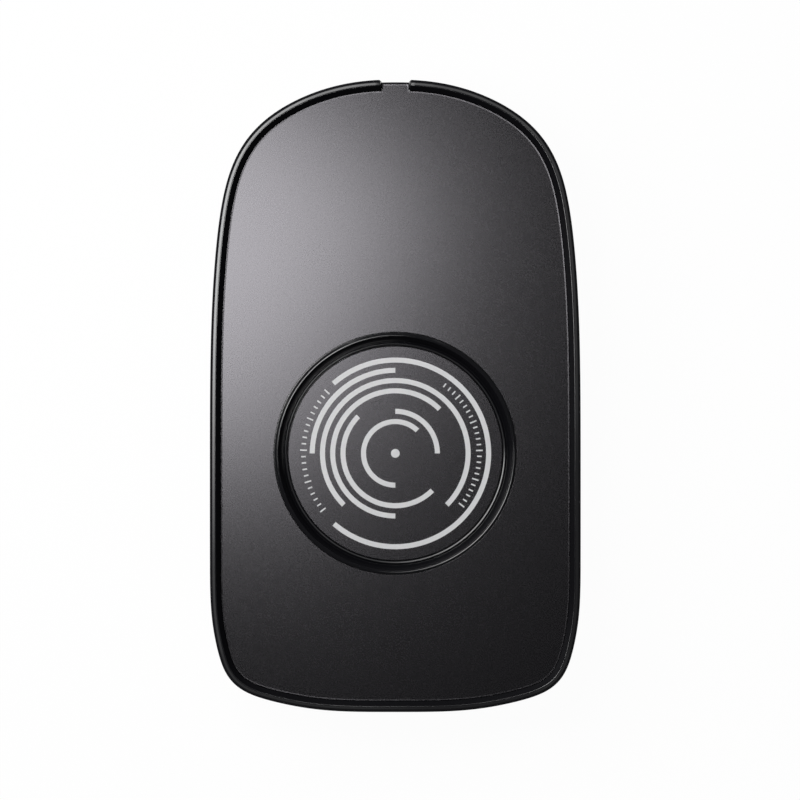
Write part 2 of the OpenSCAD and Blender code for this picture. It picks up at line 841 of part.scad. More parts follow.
// the thread starts so that one of its gaps lies over the wheel's tooth at first_at.x
module worm() {
    color([0.75, 0.62, 0.35])
    difference() {
        along_motor(first_at.x - (floor(thread_turns / 2) + 0.25) * worm_lead)
            worm_form();
        along_motor(first_at.x - worm_half_l - 1)
            cylinder(r = shaft_r + press_gap, h = 2 * worm_half_l + 2);
    }
}

// ---- motor

module motor_shaft() {
    color([0.8, 0.8, 0.82])
    along_motor(post_x - post_w - 0.3)
        cylinder(r = shaft_r, h = can_end_x + 1 - post_x + post_w + 0.3);
}

rotor_r = 4;
rotor_l = motor_l - 6;
rotor_slot = 0.7;
module motor_rotor() {
    color([0.6, 0.4, 0.25])
    difference() {
        along_motor(can_x + 3)
            cylinder(r = rotor_r, h = rotor_l);
        along_motor(can_x + 2)
            cylinder(r = shaft_r + press_gap, h = rotor_l + 2);
        for (turn = [0, 120, 240])
            translate([can_x + 2, worm_y, axis_z])
                rotate([turn, 0, 0])
                    translate([0, -rotor_slot / 2, rotor_r - 1.6])
                        cube([rotor_l + 2, rotor_slot, 2]);
    }
}

magnet_t = 0.9;
magnet_half = 42;
module motor_magnets() {
    outer = motor_w / 2 - can_wall - lie_gap;
    color([0.25, 0.25, 0.27])
    along_motor(can_x + 3)
        for (side = [90, 270])
            rotate(side - magnet_half)
                rotate_extrude(angle = 2 * magnet_half)
                    translate([outer - magnet_t, 0])
                        square([magnet_t, rotor_l]);
}

module motor_can() {
    color([0.7, 0.71, 0.73])
    difference() {
        union() {
            along_motor(can_x)
                can_form(motor_w / 2, motor_h, motor_l);
            along_motor(can_x - nose_boss_l)
                cylinder(r = nose_boss_r, h = nose_boss_l + eps);
        }
        along_motor(can_x + can_wall)
            can_form(motor_w / 2 - can_wall, motor_h - 2 * can_wall, motor_l);
        along_motor(can_x - nose_boss_l - 1)
            cylinder(r = shaft_r + run_gap, h = 3);
    }
}

tab_w = 1.6;
tab_t = 0.4;
tab_l = 1;
module motor_end_cap() {
    color([0.1, 0.1, 0.1])
    difference() {
        union() {
            along_motor(can_end_x)
                can_form(motor_w / 2, motor_h, cap_l);
            along_motor(can_end_x - 1)
                can_form(motor_w / 2 - can_wall - lie_gap, motor_h - 2 * (can_wall + lie_gap), 1 + eps);
        }
        along_motor(can_end_x - 2)
            cylinder(r = shaft_r + run_gap, h = 3.2);
        for (side = [-1, 1])
            translate([can_end_x + cap_l - 1.2, worm_y + side * tab_off - tab_w / 2 - press_gap,
                       axis_z - tab_t / 2 - press_gap])
                cube([2, tab_w + 2 * press_gap, tab_t + 2 * press_gap]);
    }
}

module motor_terminals() {
    color([0.85, 0.7, 0.4])
    for (side = [-1, 1])
        translate([can_end_x + cap_l - 1.2, worm_y + side * tab_off - tab_w / 2, axis_z - tab_t / 2])
            cube([1.2 + tab_l, tab_w, tab_t]);
}

module motor_clamp() {
    half = motor_w / 2 + seat_gap;
    top = axis_z + motor_h / 2;
    ear = clamp_ear_z;
    out = half + clamp_t + clamp_ear;
    color([0.75, 0.76, 0.78])
    difference() {
        translate([clamp_x - clamp_w / 2, worm_y, 0])
            rotate([90, 0, 90])
                linear_extrude(clamp_w)
                    polygon([
                        [-out, ear], [-half, ear], [-half, top], [half, top], [half, ear], [out, ear],
                        [out, ear + clamp_t], [half + clamp_t, ear + clamp_t],
                        [half + clamp_t, top + clamp_t], [-half - clamp_t, top + clamp_t],
                        [-half - clamp_t, ear + clamp_t], [-out, ear + clamp_t]
                    ]);
        for (side = [-1, 1])
            translate([clamp_x, worm_y + side * ear_y])
                post(small_screw_r + seat_gap, ear - 1, ear + 1);
    }
}

module clamp_screws() {
    color([0.7, 0.7, 0.72])
    for (side = [-1, 1])
        translate([clamp_x, worm_y + side * ear_y])
            pan_screw(small_screw_r, small_head_r, small_head_h, small_screw_l, clamp_ear_z + clamp_t);
}

// ---- motor leads: up from the terminal, over in half a ring and down to the board

lead_bend = 1.6;
module motor_lead(side) {
    from_x = can_end_x + cap_l + tab_l / 2;
    start_z = axis_z + tab_t / 2;
    bend_z = start_z + 0.6;
    translate([from_x + lead_bend, worm_y + side * tab_off, bend_z])
        rotate([90, 0, 0])
            rotate_extrude(angle = 180, $fn = 48)
                translate([lead_bend, 0])
                    circle(lead_r, $fn = 24);
    translate([from_x, worm_y + side * tab_off])
        post(lead_r, start_z, bend_z);
    translate([from_x + 2 * lead_bend, worm_y + side * tab_off])
        post(lead_r, board_top, bend_z);
}
module motor_lead_red() {
    color([0.75, 0.1, 0.1])
    motor_lead(1);
}
module motor_lead_black() {
    color([0.08, 0.08, 0.08])
    motor_lead(-1);
}

// ---- electronics

module circuit_board() {
    color([0.05, 0.3, 0.15])
    difference() {
        translate([0, 0, board_z])
            linear_extrude(board_t)
                polygon(board_points);
        at_each(board_places)
            post(small_screw_r + seat_gap, board_z - 1, board_top + 1);
    }
}

board_boss_r = 2;
module board_screws() {
    color([0.7, 0.7, 0.72])
    at_each(board_places)
        pan_screw(small_screw_r, small_head_r, small_head_h, small_screw_l + board_t, board_top);
}

chip_at = [-5, board_nose_y - 11.5];
chip_size = [4.9, 3.9, 1.4];
chip_pitch = 1.27;
chip_foot = [0.4, 1.1, 0.2];
module microcontroller() {
    color([0.08, 0.08, 0.09])
    translate([chip_at.x, chip_at.y, board_top]) {
        translate([-chip_size.x / 2, -chip_size.y / 2, chip_foot.z / 2])
            cube(chip_size);
        for (k = [-1.5 : 1 : 1.5], side = [0, 1])
            translate([k * chip_pitch - chip_foot.x / 2,
                       side * (chip_size.y + chip_foot.y) - chip_size.y / 2 - chip_foot.y, 0])
                cube([chip_foot.x, chip_foot.y + eps, chip_foot.z]);
    }
}

capacitor_r = 2.5;
capacitor_h = 5.4;
module capacitor() {
    color([0.2, 0.25, 0.4])
    translate([6, board_nose_y - 12.2]) {
        post(capacitor_r, board_top + 0.3, board_top + capacitor_h);
        translate([-capacitor_r, -capacitor_r, board_top])
            cube([2 * capacitor_r, 2 * capacitor_r, 0.3 + eps]);
    }
}

shell_t = 0.3;
module stadium(w, h, length) {
    rotate([90, 0, 0])
        linear_extrude(length) {
            square([w - h, h], center = true);
            for (side = [-1, 1])
                translate([side * (w - h) / 2, 0])
                    circle(h / 2);
        }
}
module power_inlet_shell() {
    color([0.75, 0.76, 0.78])
    translate([0, inlet_mouth_y, inlet_z])
        difference() {
            stadium(inlet_w, inlet_h, inlet_l);
            translate([0, 1, 0])
                stadium(inlet_w - 2 * shell_t, inlet_h - 2 * shell_t, inlet_l);
        }
}

tongue_size = [6.7, 5.2, 0.7];
module power_inlet_tongue() {
    color([0.1, 0.1, 0.1])
    translate([-tongue_size.x / 2, inlet_mouth_y - inlet_l + 1, inlet_z - tongue_size.z / 2])
        cube(tongue_size);
}

shoe_w = 4;
module switch_body() {
    color([0.6, 0.61, 0.63])
    translate([switch_at.x, switch_at.y, board_top])
        difference() {
            cube(switch_size);
            translate([switch_size.x - 1.5, switch_wall, switch_wall])
                cube([1.5 - switch_wall, switch_size.y - 2 * switch_wall,
                      switch_size.z - 2 * switch_wall]);
            translate([switch_size.x - 1, (switch_size.y - slider_w - switch_travel) / 2 - seat_gap,
                       (switch_size.z - slider_h) / 2 - seat_gap])
                cube([2, slider_w + switch_travel + 2 * seat_gap, slider_h + 2 * seat_gap]);
        }
}

// drawn in the off position, with its travel ahead of it along +Y
module switch_slider() {
    start_y = switch_at.y + (switch_size.y - slider_w - switch_travel) / 2;
    shoe_x = switch_at.x + switch_size.x - 1.5 + seat_gap;
    shoe_t = 1 - 2 * seat_gap;
    grip = 0.25;
    color([0.05, 0.05, 0.05]) {
        translate([shoe_x, start_y + slider_w / 2 - shoe_w / 2, board_top + switch_wall + seat_gap])
            cube([shoe_t, shoe_w, switch_size.z - 2 * (switch_wall + seat_gap)]);
        difference() {
            translate([shoe_x + shoe_t - eps, start_y, slider_z - slider_h / 2])
                cube([slider_tip_x - shoe_x - shoe_t + eps, slider_w, slider_h]);
            for (k = [1 : 3])
                translate([slider_tip_x - grip, start_y + k * slider_w / 4 - grip / 2,
                           slider_z - slider_h])
                    cube([1, grip, 2 * slider_h]);
        }
    }
}

// ---- base

lip_h = 0.8;
lip_t = 1;
seam = 0.3;
edge_steps = 5;
edge_in = 4;
function cover_rings() =
    let (
        skirt = tuck(part_z) + 0.1,
        lip_out = tuck(part_z) + wall + seat_gap,
        seat = part_z - seam
    )
    concat(
        [[lip_out + lip_t, floor_z], [lip_out + lip_t, part_z + lip_h], [lip_out, part_z + lip_h],
         [lip_out, seat]],
        [for (k = [0 : edge_steps])
            let (a = 90 * k / edge_steps)
            [skirt + (edge_in - skirt) * (1 - cos(a)), seat - (seat - cover_z) * sin(a)]]
    );

cover_rib_h = 1.2;
module bottom_cover() {
    color([0.06, 0.06, 0.065])
    difference() {
        union() {
            shell_stack(cover_rings());
            at_each(case_places)
                post(case_boss_r + 0.4, floor_z - eps, case_seat_z);
            at_each(chassis_places)
                post(chassis_boss_r, floor_z - eps, floor_z + chassis_post_h);
            at_each(board_places)
                post(board_boss_r, floor_z - eps, board_z);
            for (side = [-1, 1])
                translate([side * 12 - rib_t / 2, 10 - nose_y, floor_z - eps])
                    cube([rib_t, plate_low.y - 11 + nose_y, cover_rib_h]);
            translate([-22, 20 - nose_y, floor_z - eps])
                cube([44, rib_t, cover_rib_h]);
        }
        at_each(case_places) {
            post(screw_head_r + 0.3, cover_z - 1, cover_z + head_pocket);
            post(screw_r + 0.2, cover_z, case_seat_z + 1);
        }
        at_each(foot_places)
            post(foot_r + seat_gap, cover_z - 1, cover_z + foot_seat);
        at_each(chassis_places)
            post(small_screw_r + press_gap, floor_z, floor_z + chassis_post_h + 1);
        at_each(board_places)
            post(small_screw_r + press_gap, floor_z, board_z + 1);
    }
}

module case_screws() {
    color([0.25, 0.25, 0.27])
    at_each(case_places)
        translate([0, 0, cover_z + head_pocket])
            mirror([0, 0, 1])
                pan_screw(screw_r, screw_head_r, head_pocket - 0.1, case_screw_l, 0);
}

foot_bevel = 0.25;
module rubber_feet() {
    color([0.12, 0.12, 0.12])
    at_each(foot_places) {
        cylinder(r1 = foot_r - foot_bevel, r2 = foot_r, h = foot_bevel);
        post(foot_r, foot_bevel, foot_h);
    }
}

top_casing();
tray_panel();
disc_bezel();
turntable_disc();
printed_rings();
turntable_gear();
spindle();
spindle_bush();
thrust_washer();
retaining_clip();
gearbox_chassis();
worm_wheel_gear();
intermediate_gear();
axle_pins();
worm();
motor_shaft();
motor_rotor();
motor_magnets();
motor_can();
motor_end_cap();
motor_terminals();
motor_clamp();
clamp_screws();
chassis_screws();
circuit_board();
microcontroller();
capacitor();
power_inlet_shell();
power_inlet_tongue();
switch_body();
switch_slider();
motor_lead_red();
motor_lead_black();
board_screws();
bottom_cover();
case_screws();
rubber_feet();
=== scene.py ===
import json
import math

import bmesh
import bpy
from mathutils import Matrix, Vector


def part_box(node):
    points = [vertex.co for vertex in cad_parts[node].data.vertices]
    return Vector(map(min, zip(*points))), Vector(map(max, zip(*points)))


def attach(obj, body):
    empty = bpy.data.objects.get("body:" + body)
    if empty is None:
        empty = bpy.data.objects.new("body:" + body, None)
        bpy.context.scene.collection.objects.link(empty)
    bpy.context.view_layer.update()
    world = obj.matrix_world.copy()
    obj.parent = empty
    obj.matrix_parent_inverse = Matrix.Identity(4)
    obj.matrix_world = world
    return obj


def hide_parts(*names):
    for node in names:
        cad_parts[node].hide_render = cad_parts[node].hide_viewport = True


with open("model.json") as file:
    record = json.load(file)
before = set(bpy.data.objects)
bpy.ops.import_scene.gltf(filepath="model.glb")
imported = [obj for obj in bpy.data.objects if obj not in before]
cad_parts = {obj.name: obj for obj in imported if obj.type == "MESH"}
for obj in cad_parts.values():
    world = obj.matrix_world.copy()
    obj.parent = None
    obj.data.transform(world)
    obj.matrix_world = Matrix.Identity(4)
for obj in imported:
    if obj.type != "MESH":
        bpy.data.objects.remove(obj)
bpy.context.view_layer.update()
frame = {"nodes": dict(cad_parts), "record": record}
nodes = frame["nodes"]
mm = 0.001
print("frame loaded:", len(nodes), "nodes")

# Lengths in every dictionary are millimetres, angles are degrees.


# ---- camera, lights and floor

camera = {"place": (0.93, -0.83, 1017.0), "lens": 227.6, "sensor": 36.0, "near": 10.0}


def makeCamera(spec):
    data = bpy.data.cameras.new("camera")
    data.lens = spec["lens"]
    data.sensor_width = spec["sensor"]
    data.clip_start = spec["near"] * mm
    made = bpy.data.objects.new("camera", data)
    bpy.context.scene.collection.objects.link(made)
    made.location = Vector(spec["place"]) * mm
    bpy.context.scene.camera = made


keySoftbox = {"place": (-52, 37, 237), "aim": (0, 0, 16), "size": (81, 88), "radiance": 10.1}

# Eight upright light walls stand round the object and draw the light lines on the rim and the
# bezel. Each has its azimuth, counted from +X towards +Y, and strips of (end, radiance).
lightRoom = {
    "reach": 430, "low": 240, "high": 450,
    "walls": {
        "right": (0, ((-8, 0.12), (178, 0.35))),
        "noseRight": (45, ((0, 0.5), (178, 0.8))),
        "nose": (90, ((-60, 0.95), (-20, 1.4), (20, 2.1), (60, 3.1), (178, 3.6))),
        "noseLeft": (135, ((-60, 5.2), (60, 6.2), (178, 7.2))),
        "left": (180, ((-24, 8.0), (-12, 6.8), (0, 5.8), (12, 4.2), (26, 2.7), (42, 1.5), (178, 0.5))),
        "tailLeft": (225, ((178, 0.3),)),
        "tail": (270, ((0, 0.25), (178, 0.12))),
        "tailRight": (315, ((178, 0.2),)),
    },
}


def makeLamp(name, place, aim, size, radiance):
    wide, high = (side * mm for side in size)
    data = bpy.data.lights.new(name, "AREA")
    data.shape = "RECTANGLE"
    data.size = wide
    data.size_y = high
    data.energy = radiance * math.pi * wide * high
    made = bpy.data.objects.new(name, data)
    bpy.context.scene.collection.objects.link(made)
    made.location = Vector(place) * mm
    made.rotation_mode = "QUATERNION"
    made.rotation_quaternion = (Vector(aim) - Vector(place)).to_track_quat("-Z", "Y")
    made.visible_camera = False


def makeWalls(spec):
    level, high = (spec["low"] + spec["high"]) / 2, spec["high"] - spec["low"]
    for name, (azimuth, strips) in spec["walls"].items():
        turn = math.radians(azimuth)
        outX, outY = math.cos(turn), math.sin(turn)
        start = -strips[-1][0]
        for count, (end, radiance) in enumerate(strips):
            middle = (start + end) / 2
            x = spec["reach"] * outX - middle * outY
            y = spec["reach"] * outY + middle * outX
            aim = (x - outX, y - outY, level)
            makeLamp(f"{name}Wall{count}", (x, y, level), aim, (end - start, high), radiance)
            start = end


makeCamera(camera)
makeLamp("keySoftbox", **keySoftbox)
makeWalls(lightRoom)
print("camera and lamps made")


# ---- a small language for materials

class Wire:  # a socket that takes part in sums
    def __init__(self, recipe, socket):
        self.recipe = recipe
        self.socket = socket

    def __add__(self, other):
        return self.recipe.maths("ADD", self, other)

    __radd__ = __add__

    def __sub__(self, other):
        return self.recipe.maths("SUBTRACT", self, other)

    def __rsub__(self, other):
        return self.recipe.maths("SUBTRACT", other, self)

    def __mul__(self, other):
        return self.recipe.maths("MULTIPLY", self, other)

    __rmul__ = __mul__

    def __gt__(self, other):
        return self.recipe.maths("GREATER_THAN", self, other)

    def __lt__(self, other):
        return self.recipe.maths("LESS_THAN", self, other)


class Recipe:  # the nodes of one material or of the world
    def __init__(self, owner):
        owner.use_nodes = True
        self.tree = owner.node_tree

    def feed(self, socket, value):
        if isinstance(value, Wire):
            self.tree.links.new(value.socket, socket)
        elif socket.type == "RGBA" and len(value) == 3:
            socket.default_value = (*value, 1.0)
        else:
            socket.default_value = value

    def node(self, kind, settings=None, sockets=None, output=0):
        made = self.tree.nodes.new(kind)
        for key, value in (settings or {}).items():
            if key == "stops":
                ramp = made.color_ramp
                while len(ramp.elements) < len(value):
                    ramp.elements.new(0.5)
                for element, (at, level) in zip(ramp.elements, value):
                    element.position = at
                    element.color = (level, level, level, 1.0)
            else:
                setattr(made, key, value)
        for key, value in (sockets or {}).items():
            self.feed(made.inputs[key], value)
        return Wire(self, made.outputs[output])

    def maths(self, operation, first, second):
        return self.node("ShaderNodeMath", {"operation": operation}, {0: first, 1: second})

    def blend(self, first, second, share):
        # the node's sockets 6 and 7 take the colours, and its output 2 gives the blend
        return self.node("ShaderNodeMix", {"data_type": "RGBA"}, {"Factor": share, 6: first, 7: second}, 2)

    def along(self, stretch):  # the place on the object, stretched along its axes
        place = self.node("ShaderNodeTexCoord", output="Object")
        return self.node("ShaderNodeMapping", {}, {"Vector": place, "Scale": stretch})

    def noise(self, size, detail, stretch=(1, 1, 1)):
        settings = {"noise_dimensions": "3D"}
        sockets = {"Vector": self.along(stretch), "Scale": 1 / (size * mm), "Detail": detail}
        return self.node("ShaderNodeTexNoise", settings, sockets)

    def levelness(self):  # 1 on a face that looks straight up, 0 on an upright one
        normal = self.node("ShaderNodeNewGeometry", output="Normal")
        return self.node("ShaderNodeSeparateXYZ", {}, {0: normal}, "Z")

    def lightPath(self, name):
        return self.node("ShaderNodeLightPath", output=name)

    def bump(self, height, depth):
        sockets = {"Height": height, "Strength": 1.0, "Distance": depth * mm}
        return self.node("ShaderNodeBump", {}, sockets)


def shade(colour, by):
    return tuple(part * by for part in colour)


# What every finish shares, unless its own row says otherwise.
finishRules = {"tone": 0.06, "cloud": 0.25, "shine": 0.5, "grainDetail": 3.0, "cloudSize": 22,
               "cloudDetail": 2.0, "traceSize": 2.6, "traceBand": (0.47, 0.5), "topFrom": 0.9,
               "softReach": (0.6, 0.5, 0.4), "softScale": 0.4}

# Every finish: colour, metal, roughness, then the size of its grain and how much the grain
# changes the colour, the roughness and the height. A larger cloud goes with the grain.
finishes = {
    # shadedSlope gives the leans of the glossy faces that take painted shade, and shadeShare gives how much
    # of it they take
    "case_gloss": {"colour": (0.005, 0.005, 0.006), "rough": 0.10, "grain": 2.2, "depth": 0.0004,
                   "roughBy": 0.02, "shine": 0.75, "shadedSlope": (47, 68), "shadeShare": 0.8},
    "panel_satin": {"colour": (0.062, 0.060, 0.064), "metal": 1.0, "rough": 0.264, "grain": 0.24,
                    "tone": 0.2, "roughBy": 0.05, "depth": 0.0005, "cloud": 0.0},
    "bezel_gloss": {"colour": (0.004, 0.004, 0.005), "rough": 0.08, "grain": 1.8, "depth": 0.0003,
                    "roughBy": 0.02, "shine": 0.6, "shadedSlope": (47, 68), "shadeShare": 0.6},
    "cover_matte": {"colour": (0.022, 0.022, 0.024), "rough": 0.58, "grain": 0.45, "tone": 0.18,
                    "roughBy": 0.12, "depth": 0.02},
    "foot_rubber": {"colour": (0.045, 0.045, 0.047), "rough": 0.78, "grain": 0.35, "tone": 0.25,
                    "roughBy": 0.10, "depth": 0.015},
    "black_screw": {"colour": (0.045, 0.045, 0.05), "metal": 0.9, "rough": 0.36, "grain": 0.3,
                    "tone": 0.2, "roughBy": 0.1, "depth": 0.004},
    "disc_satin": {"colour": (0.059, 0.057, 0.061), "metal": 1.0, "rough": 0.265, "grain": 0.24,
                   "tone": 0.2, "roughBy": 0.05, "depth": 0.0006, "cloud": 0.0},
    "ring_ink": {"colour": (0.60, 0.60, 0.605), "rough": 0.5, "grain": 0.3, "tone": 0.08,
                 "roughBy": 0.08, "depth": 0.002},
    "gear_plastic": {"colour": (0.62, 0.60, 0.54), "rough": 0.42, "grain": 0.8, "tone": 0.06,
                     "roughBy": 0.08, "depth": 0.002, "soft": 0.15},
    "ground_steel": {"colour": (0.56, 0.56, 0.57), "metal": 1.0, "rough": 0.22, "grain": 0.25,
                     "tone": 0.08, "roughBy": 0.1, "depth": 0.0008, "stretch": (1, 1, 12)},
    "bush_bronze": {"colour": (0.42, 0.25, 0.12), "metal": 1.0, "rough": 0.4, "grain": 0.22,
                    "tone": 0.3, "roughBy": 0.15, "depth": 0.004},
    "worm_brass": {"colour": (0.66, 0.46, 0.18), "metal": 1.0, "rough": 0.26, "grain": 0.3,
                   "tone": 0.12, "roughBy": 0.12, "depth": 0.001, "stretch": (0.2, 1, 1)},
    "washer_plastic": {"colour": (0.55, 0.54, 0.5), "rough": 0.5, "grain": 0.5, "tone": 0.06,
                       "roughBy": 0.08, "depth": 0.001, "soft": 0.2},
    "spring_steel": {"colour": (0.4, 0.41, 0.43), "metal": 1.0, "rough": 0.3, "grain": 0.3,
                     "tone": 0.12, "roughBy": 0.1, "depth": 0.001, "stretch": (1, 0.15, 1)},
    "chassis_plastic": {"colour": (0.05, 0.052, 0.055), "rough": 0.5, "grain": 0.4, "tone": 0.2,
                        "roughBy": 0.12, "depth": 0.01},
    "rotor_iron": {"colour": (0.3, 0.3, 0.31), "metal": 1.0, "rough": 0.45, "grain": 0.5,
                   "tone": 0.25, "roughBy": 0.15, "depth": 0.006, "stretch": (4, 0.2, 0.2)},
    "magnet_grey": {"colour": (0.09, 0.09, 0.1), "metal": 0.4, "rough": 0.55, "grain": 0.2,
                    "tone": 0.3, "roughBy": 0.1, "depth": 0.004},
    "can_steel": {"colour": (0.5, 0.5, 0.51), "metal": 1.0, "rough": 0.3, "grain": 0.5,
                  "tone": 0.1, "roughBy": 0.14, "depth": 0.001, "stretch": (0.1, 1, 1)},
    "cap_plastic": {"colour": (0.7, 0.68, 0.62), "rough": 0.45, "grain": 0.6, "tone": 0.06,
                    "roughBy": 0.1, "depth": 0.002, "soft": 0.1},
    "terminal_brass": {"colour": (0.68, 0.5, 0.22), "metal": 1.0, "rough": 0.3, "grain": 0.3,
                       "tone": 0.15, "roughBy": 0.12, "depth": 0.001},
    "zinc_screw": {"colour": (0.56, 0.57, 0.58), "metal": 1.0, "rough": 0.3, "grain": 0.25,
                   "tone": 0.15, "roughBy": 0.12, "depth": 0.002},
    "board_green": {"colour": (0.012, 0.085, 0.04), "rough": 0.33, "grain": 0.7, "tone": 0.15,
                    "roughBy": 0.08, "depth": 0.002, "traces": (0.02, 0.14, 0.07)},
    "chip_black": {"colour": (0.02, 0.02, 0.021), "rough": 0.5, "grain": 0.12, "tone": 0.3,
                   "roughBy": 0.12, "depth": 0.003},
    "capacitor_sleeve": {"colour": (0.03, 0.05, 0.16), "rough": 0.32, "grain": 0.8, "tone": 0.12,
                         "roughBy": 0.08, "depth": 0.003, "metalTop": 0.5},
    "inlet_steel": {"colour": (0.58, 0.58, 0.6), "metal": 1.0, "rough": 0.28, "grain": 0.3,
                    "tone": 0.1, "roughBy": 0.1, "depth": 0.001, "stretch": (1, 0.12, 1)},
    "slider_plastic": {"colour": (0.018, 0.018, 0.02), "rough": 0.42, "grain": 0.25, "tone": 0.2,
                       "roughBy": 0.1, "depth": 0.004},
    "lead_red": {"colour": (0.45, 0.02, 0.015), "rough": 0.4, "grain": 0.4, "tone": 0.1,
                 "roughBy": 0.1, "depth": 0.002},
    "lead_black": {"colour": (0.02, 0.02, 0.02), "rough": 0.42, "grain": 0.4, "tone": 0.15,
                   "roughBy": 0.1, "depth": 0.002},
}


def paintShadeOnSlopes(recipe, spec):
    # painted shade: faces that lean between two angles take a share of a dark diffuse in place of the
    # gloss, so that these slopes do not show the white floor's reflection
    low, high = (math.cos(math.radians(angle)) for angle in spec["shadedSlope"])
    level = recipe.levelness()
    share = (level < low) * (level > high) * spec["shadeShare"]
    shadeShader = recipe.node("ShaderNodeBsdfDiffuse", {}, {"Color": spec["colour"]})
    glossy = Wire(recipe, recipe.tree.nodes["Principled BSDF"].outputs[0])
    mixed = recipe.node("ShaderNodeMixShader", {}, {0: share, 1: glossy, 2: shadeShader})
    recipe.feed(recipe.tree.nodes["Material Output"].inputs["Surface"], mixed)


def makeFinish(name, row):
    spec = {**finishRules, **row}
    made = bpy.data.materials.new(name)
    recipe = Recipe(made)
    shader = recipe.tree.nodes["Principled BSDF"].inputs
    colour, tone, drift = spec["colour"], spec["tone"], spec["cloud"]
    grain = recipe.noise(spec["grain"], spec["grainDetail"], spec.get("stretch", (1, 1, 1)))
    cloud = recipe.noise(spec["grain"] * spec["cloudSize"], spec["cloudDetail"])
    share = grain * (1 - drift) + cloud * drift
    colours = recipe.blend(shade(colour, 1 - tone), shade(colour, 1 + tone), share)
    metal = spec.get("metal", 0.0)
    if "traces" in spec:  # the copper under a board's paint
        low, high = spec["traceBand"]
        lines = recipe.noise(spec["traceSize"], 0.0, (1, 1, 0))
        colours = recipe.blend(colours, spec["traces"], (lines > low) * (lines < high))
    if "metalTop" in spec:
        metal = recipe.levelness() > spec["topFrom"]
        colours = recipe.blend(colours, shade((1, 1, 1), spec["metalTop"]), metal)
    recipe.feed(shader["Base Color"], colours)
    recipe.feed(shader["Metallic"], metal)
    recipe.feed(shader["Roughness"], (share - 0.5) * (2 * spec["roughBy"]) + spec["rough"])
    recipe.feed(shader["Normal"], recipe.bump(grain, spec["depth"]))
    shader["Specular IOR Level"].default_value = spec["shine"]
    # the glossy plastics get painted shade on their steep slopes
    if "shadedSlope" in spec:
        paintShadeOnSlopes(recipe, spec)
    if "soft" in spec:  # light that goes a little way into pale plastic
        shader["Subsurface Weight"].default_value = spec["soft"]
        shader["Subsurface Radius"].default_value = spec["softReach"]
        shader["Subsurface Scale"].default_value = spec["softScale"] * mm
    return made


materials = {name: makeFinish(name, spec) for name, spec in finishes.items()}
for row in frame["record"]["subparts"]:
    mesh = nodes[row["node"]].data
    mesh.materials.clear()
    mesh.materials.append(materials[row["material_slot"]])
print("finishes made:", len(materials))


# ---- floor and backdrop

room = {"floorReach": 6000, "paint": 0.9, "glow": 0.97, "dim": (0.075, 0.075, 0.08), "wall": 0.05}


def makeFloor(spec):
    reach = spec["floorReach"] * mm
    mesh = bpy.data.meshes.new("floor")
    corners = [(-reach, -reach, 0), (reach, -reach, 0), (reach, reach, 0), (-reach, reach, 0)]
    mesh.from_pydata(corners, [], [(0, 1, 2, 3)])
    floor = bpy.data.objects.new("floor", mesh)
    bpy.context.scene.collection.objects.link(floor)
    material = bpy.data.materials.new("floorPaint")
    recipe = Recipe(material)
    recipe.tree.nodes.clear()
    rays = ("Is Camera Ray", "Is Glossy Ray", "Is Transmission Ray")
    seen, gloss, through = (recipe.lightPath(name) for name in rays)
    glow = recipe.node("ShaderNodeEmission", {}, {"Color": (1, 1, 1), "Strength": 1.0})
    paint = recipe.node("ShaderNodeBsdfDiffuse", {}, {"Color": shade((1, 1, 1), spec["paint"])})
    share = (seen + gloss + through) * spec["glow"]
    lit = recipe.node("ShaderNodeMixShader", {}, {0: share, 1: paint, 2: glow})
    under = recipe.node("ShaderNodeNewGeometry", output="Backfacing")
    clear = recipe.node("ShaderNodeBsdfTransparent")
    both = recipe.node("ShaderNodeMixShader", {}, {0: under, 1: lit, 2: clear})
    end = recipe.tree.nodes.new("ShaderNodeOutputMaterial")
    recipe.feed(end.inputs["Surface"], both)
    mesh.materials.append(material)


def makeWorld(spec):
    world = bpy.data.worlds.new("studio")
    bpy.context.scene.world = world
    recipe = Recipe(world)
    recipe.tree.nodes.clear()
    rays = ("Is Camera Ray", "Is Glossy Ray", "Is Transmission Ray")
    seen, gloss, through = (recipe.lightPath(name) for name in rays)
    way = recipe.node("ShaderNodeTexCoord", output="Generated")
    height = recipe.node("ShaderNodeSeparateXYZ", {}, {0: way}, "Z")
    # pale walls all round, and a dark ceiling over the object
    wall = recipe.node("ShaderNodeValToRGB", {"stops": [(0.0, 1.0), (spec["wall"], 0.0)]}, {0: height})
    pale = recipe.node("ShaderNodeMath", {"operation": "MAXIMUM"}, {0: seen, 1: wall * (gloss + through)})
    colour = recipe.blend(spec["dim"], (1, 1, 1), pale)
    light = recipe.node("ShaderNodeBackground", {}, {"Color": colour, "Strength": 1.0})
    end = recipe.tree.nodes.new("ShaderNodeOutputWorld")
    recipe.feed(end.inputs["Surface"], light)


makeFloor(room)
makeWorld(room)
bpy.context.scene.view_settings.view_transform = "Standard"
print("floor and backdrop made")


# ---- helpers that build meshes

# An edge is sharp where its faces meet at more than this angle, and round a level face larger than
# this area.
folds = {"angle": 22, "levelFrom": 0.99999, "area": 10.0}
hair = 0.001  # a length too short to see


def fold(mesh, smooth):
    # smooth faces with sharp folds: a large level face keeps its own even normal
    for face in mesh.polygons:
        face.use_smooth = True
    mesh.set_sharp_from_angle(angle=math.radians(smooth))
    edges = {edge.key: edge for edge in mesh.edges}
    for face in mesh.polygons:
        if abs(face.normal.z) > folds["levelFrom"] and face.area > folds["area"] * mm * mm:
            for key in face.edge_keys:
                edges[key].use_edge_sharp = True


def keepMesh(name, build, slot=None, smooth=folds["angle"]):
    # turns a bmesh in millimetres into an object with its finish, its folds sharp
    bmesh.ops.recalc_face_normals(build, faces=build.faces[:])
    bmesh.ops.scale(build, vec=(mm, mm, mm), verts=build.verts[:])
    mesh = bpy.data.meshes.new(name)
    build.to_mesh(mesh)
    build.free()
    fold(mesh, smooth)
    made = bpy.data.objects.new(name, mesh)
    bpy.context.scene.collection.objects.link(made)
    if slot:
        mesh.materials.append(materials[slot])
    return made


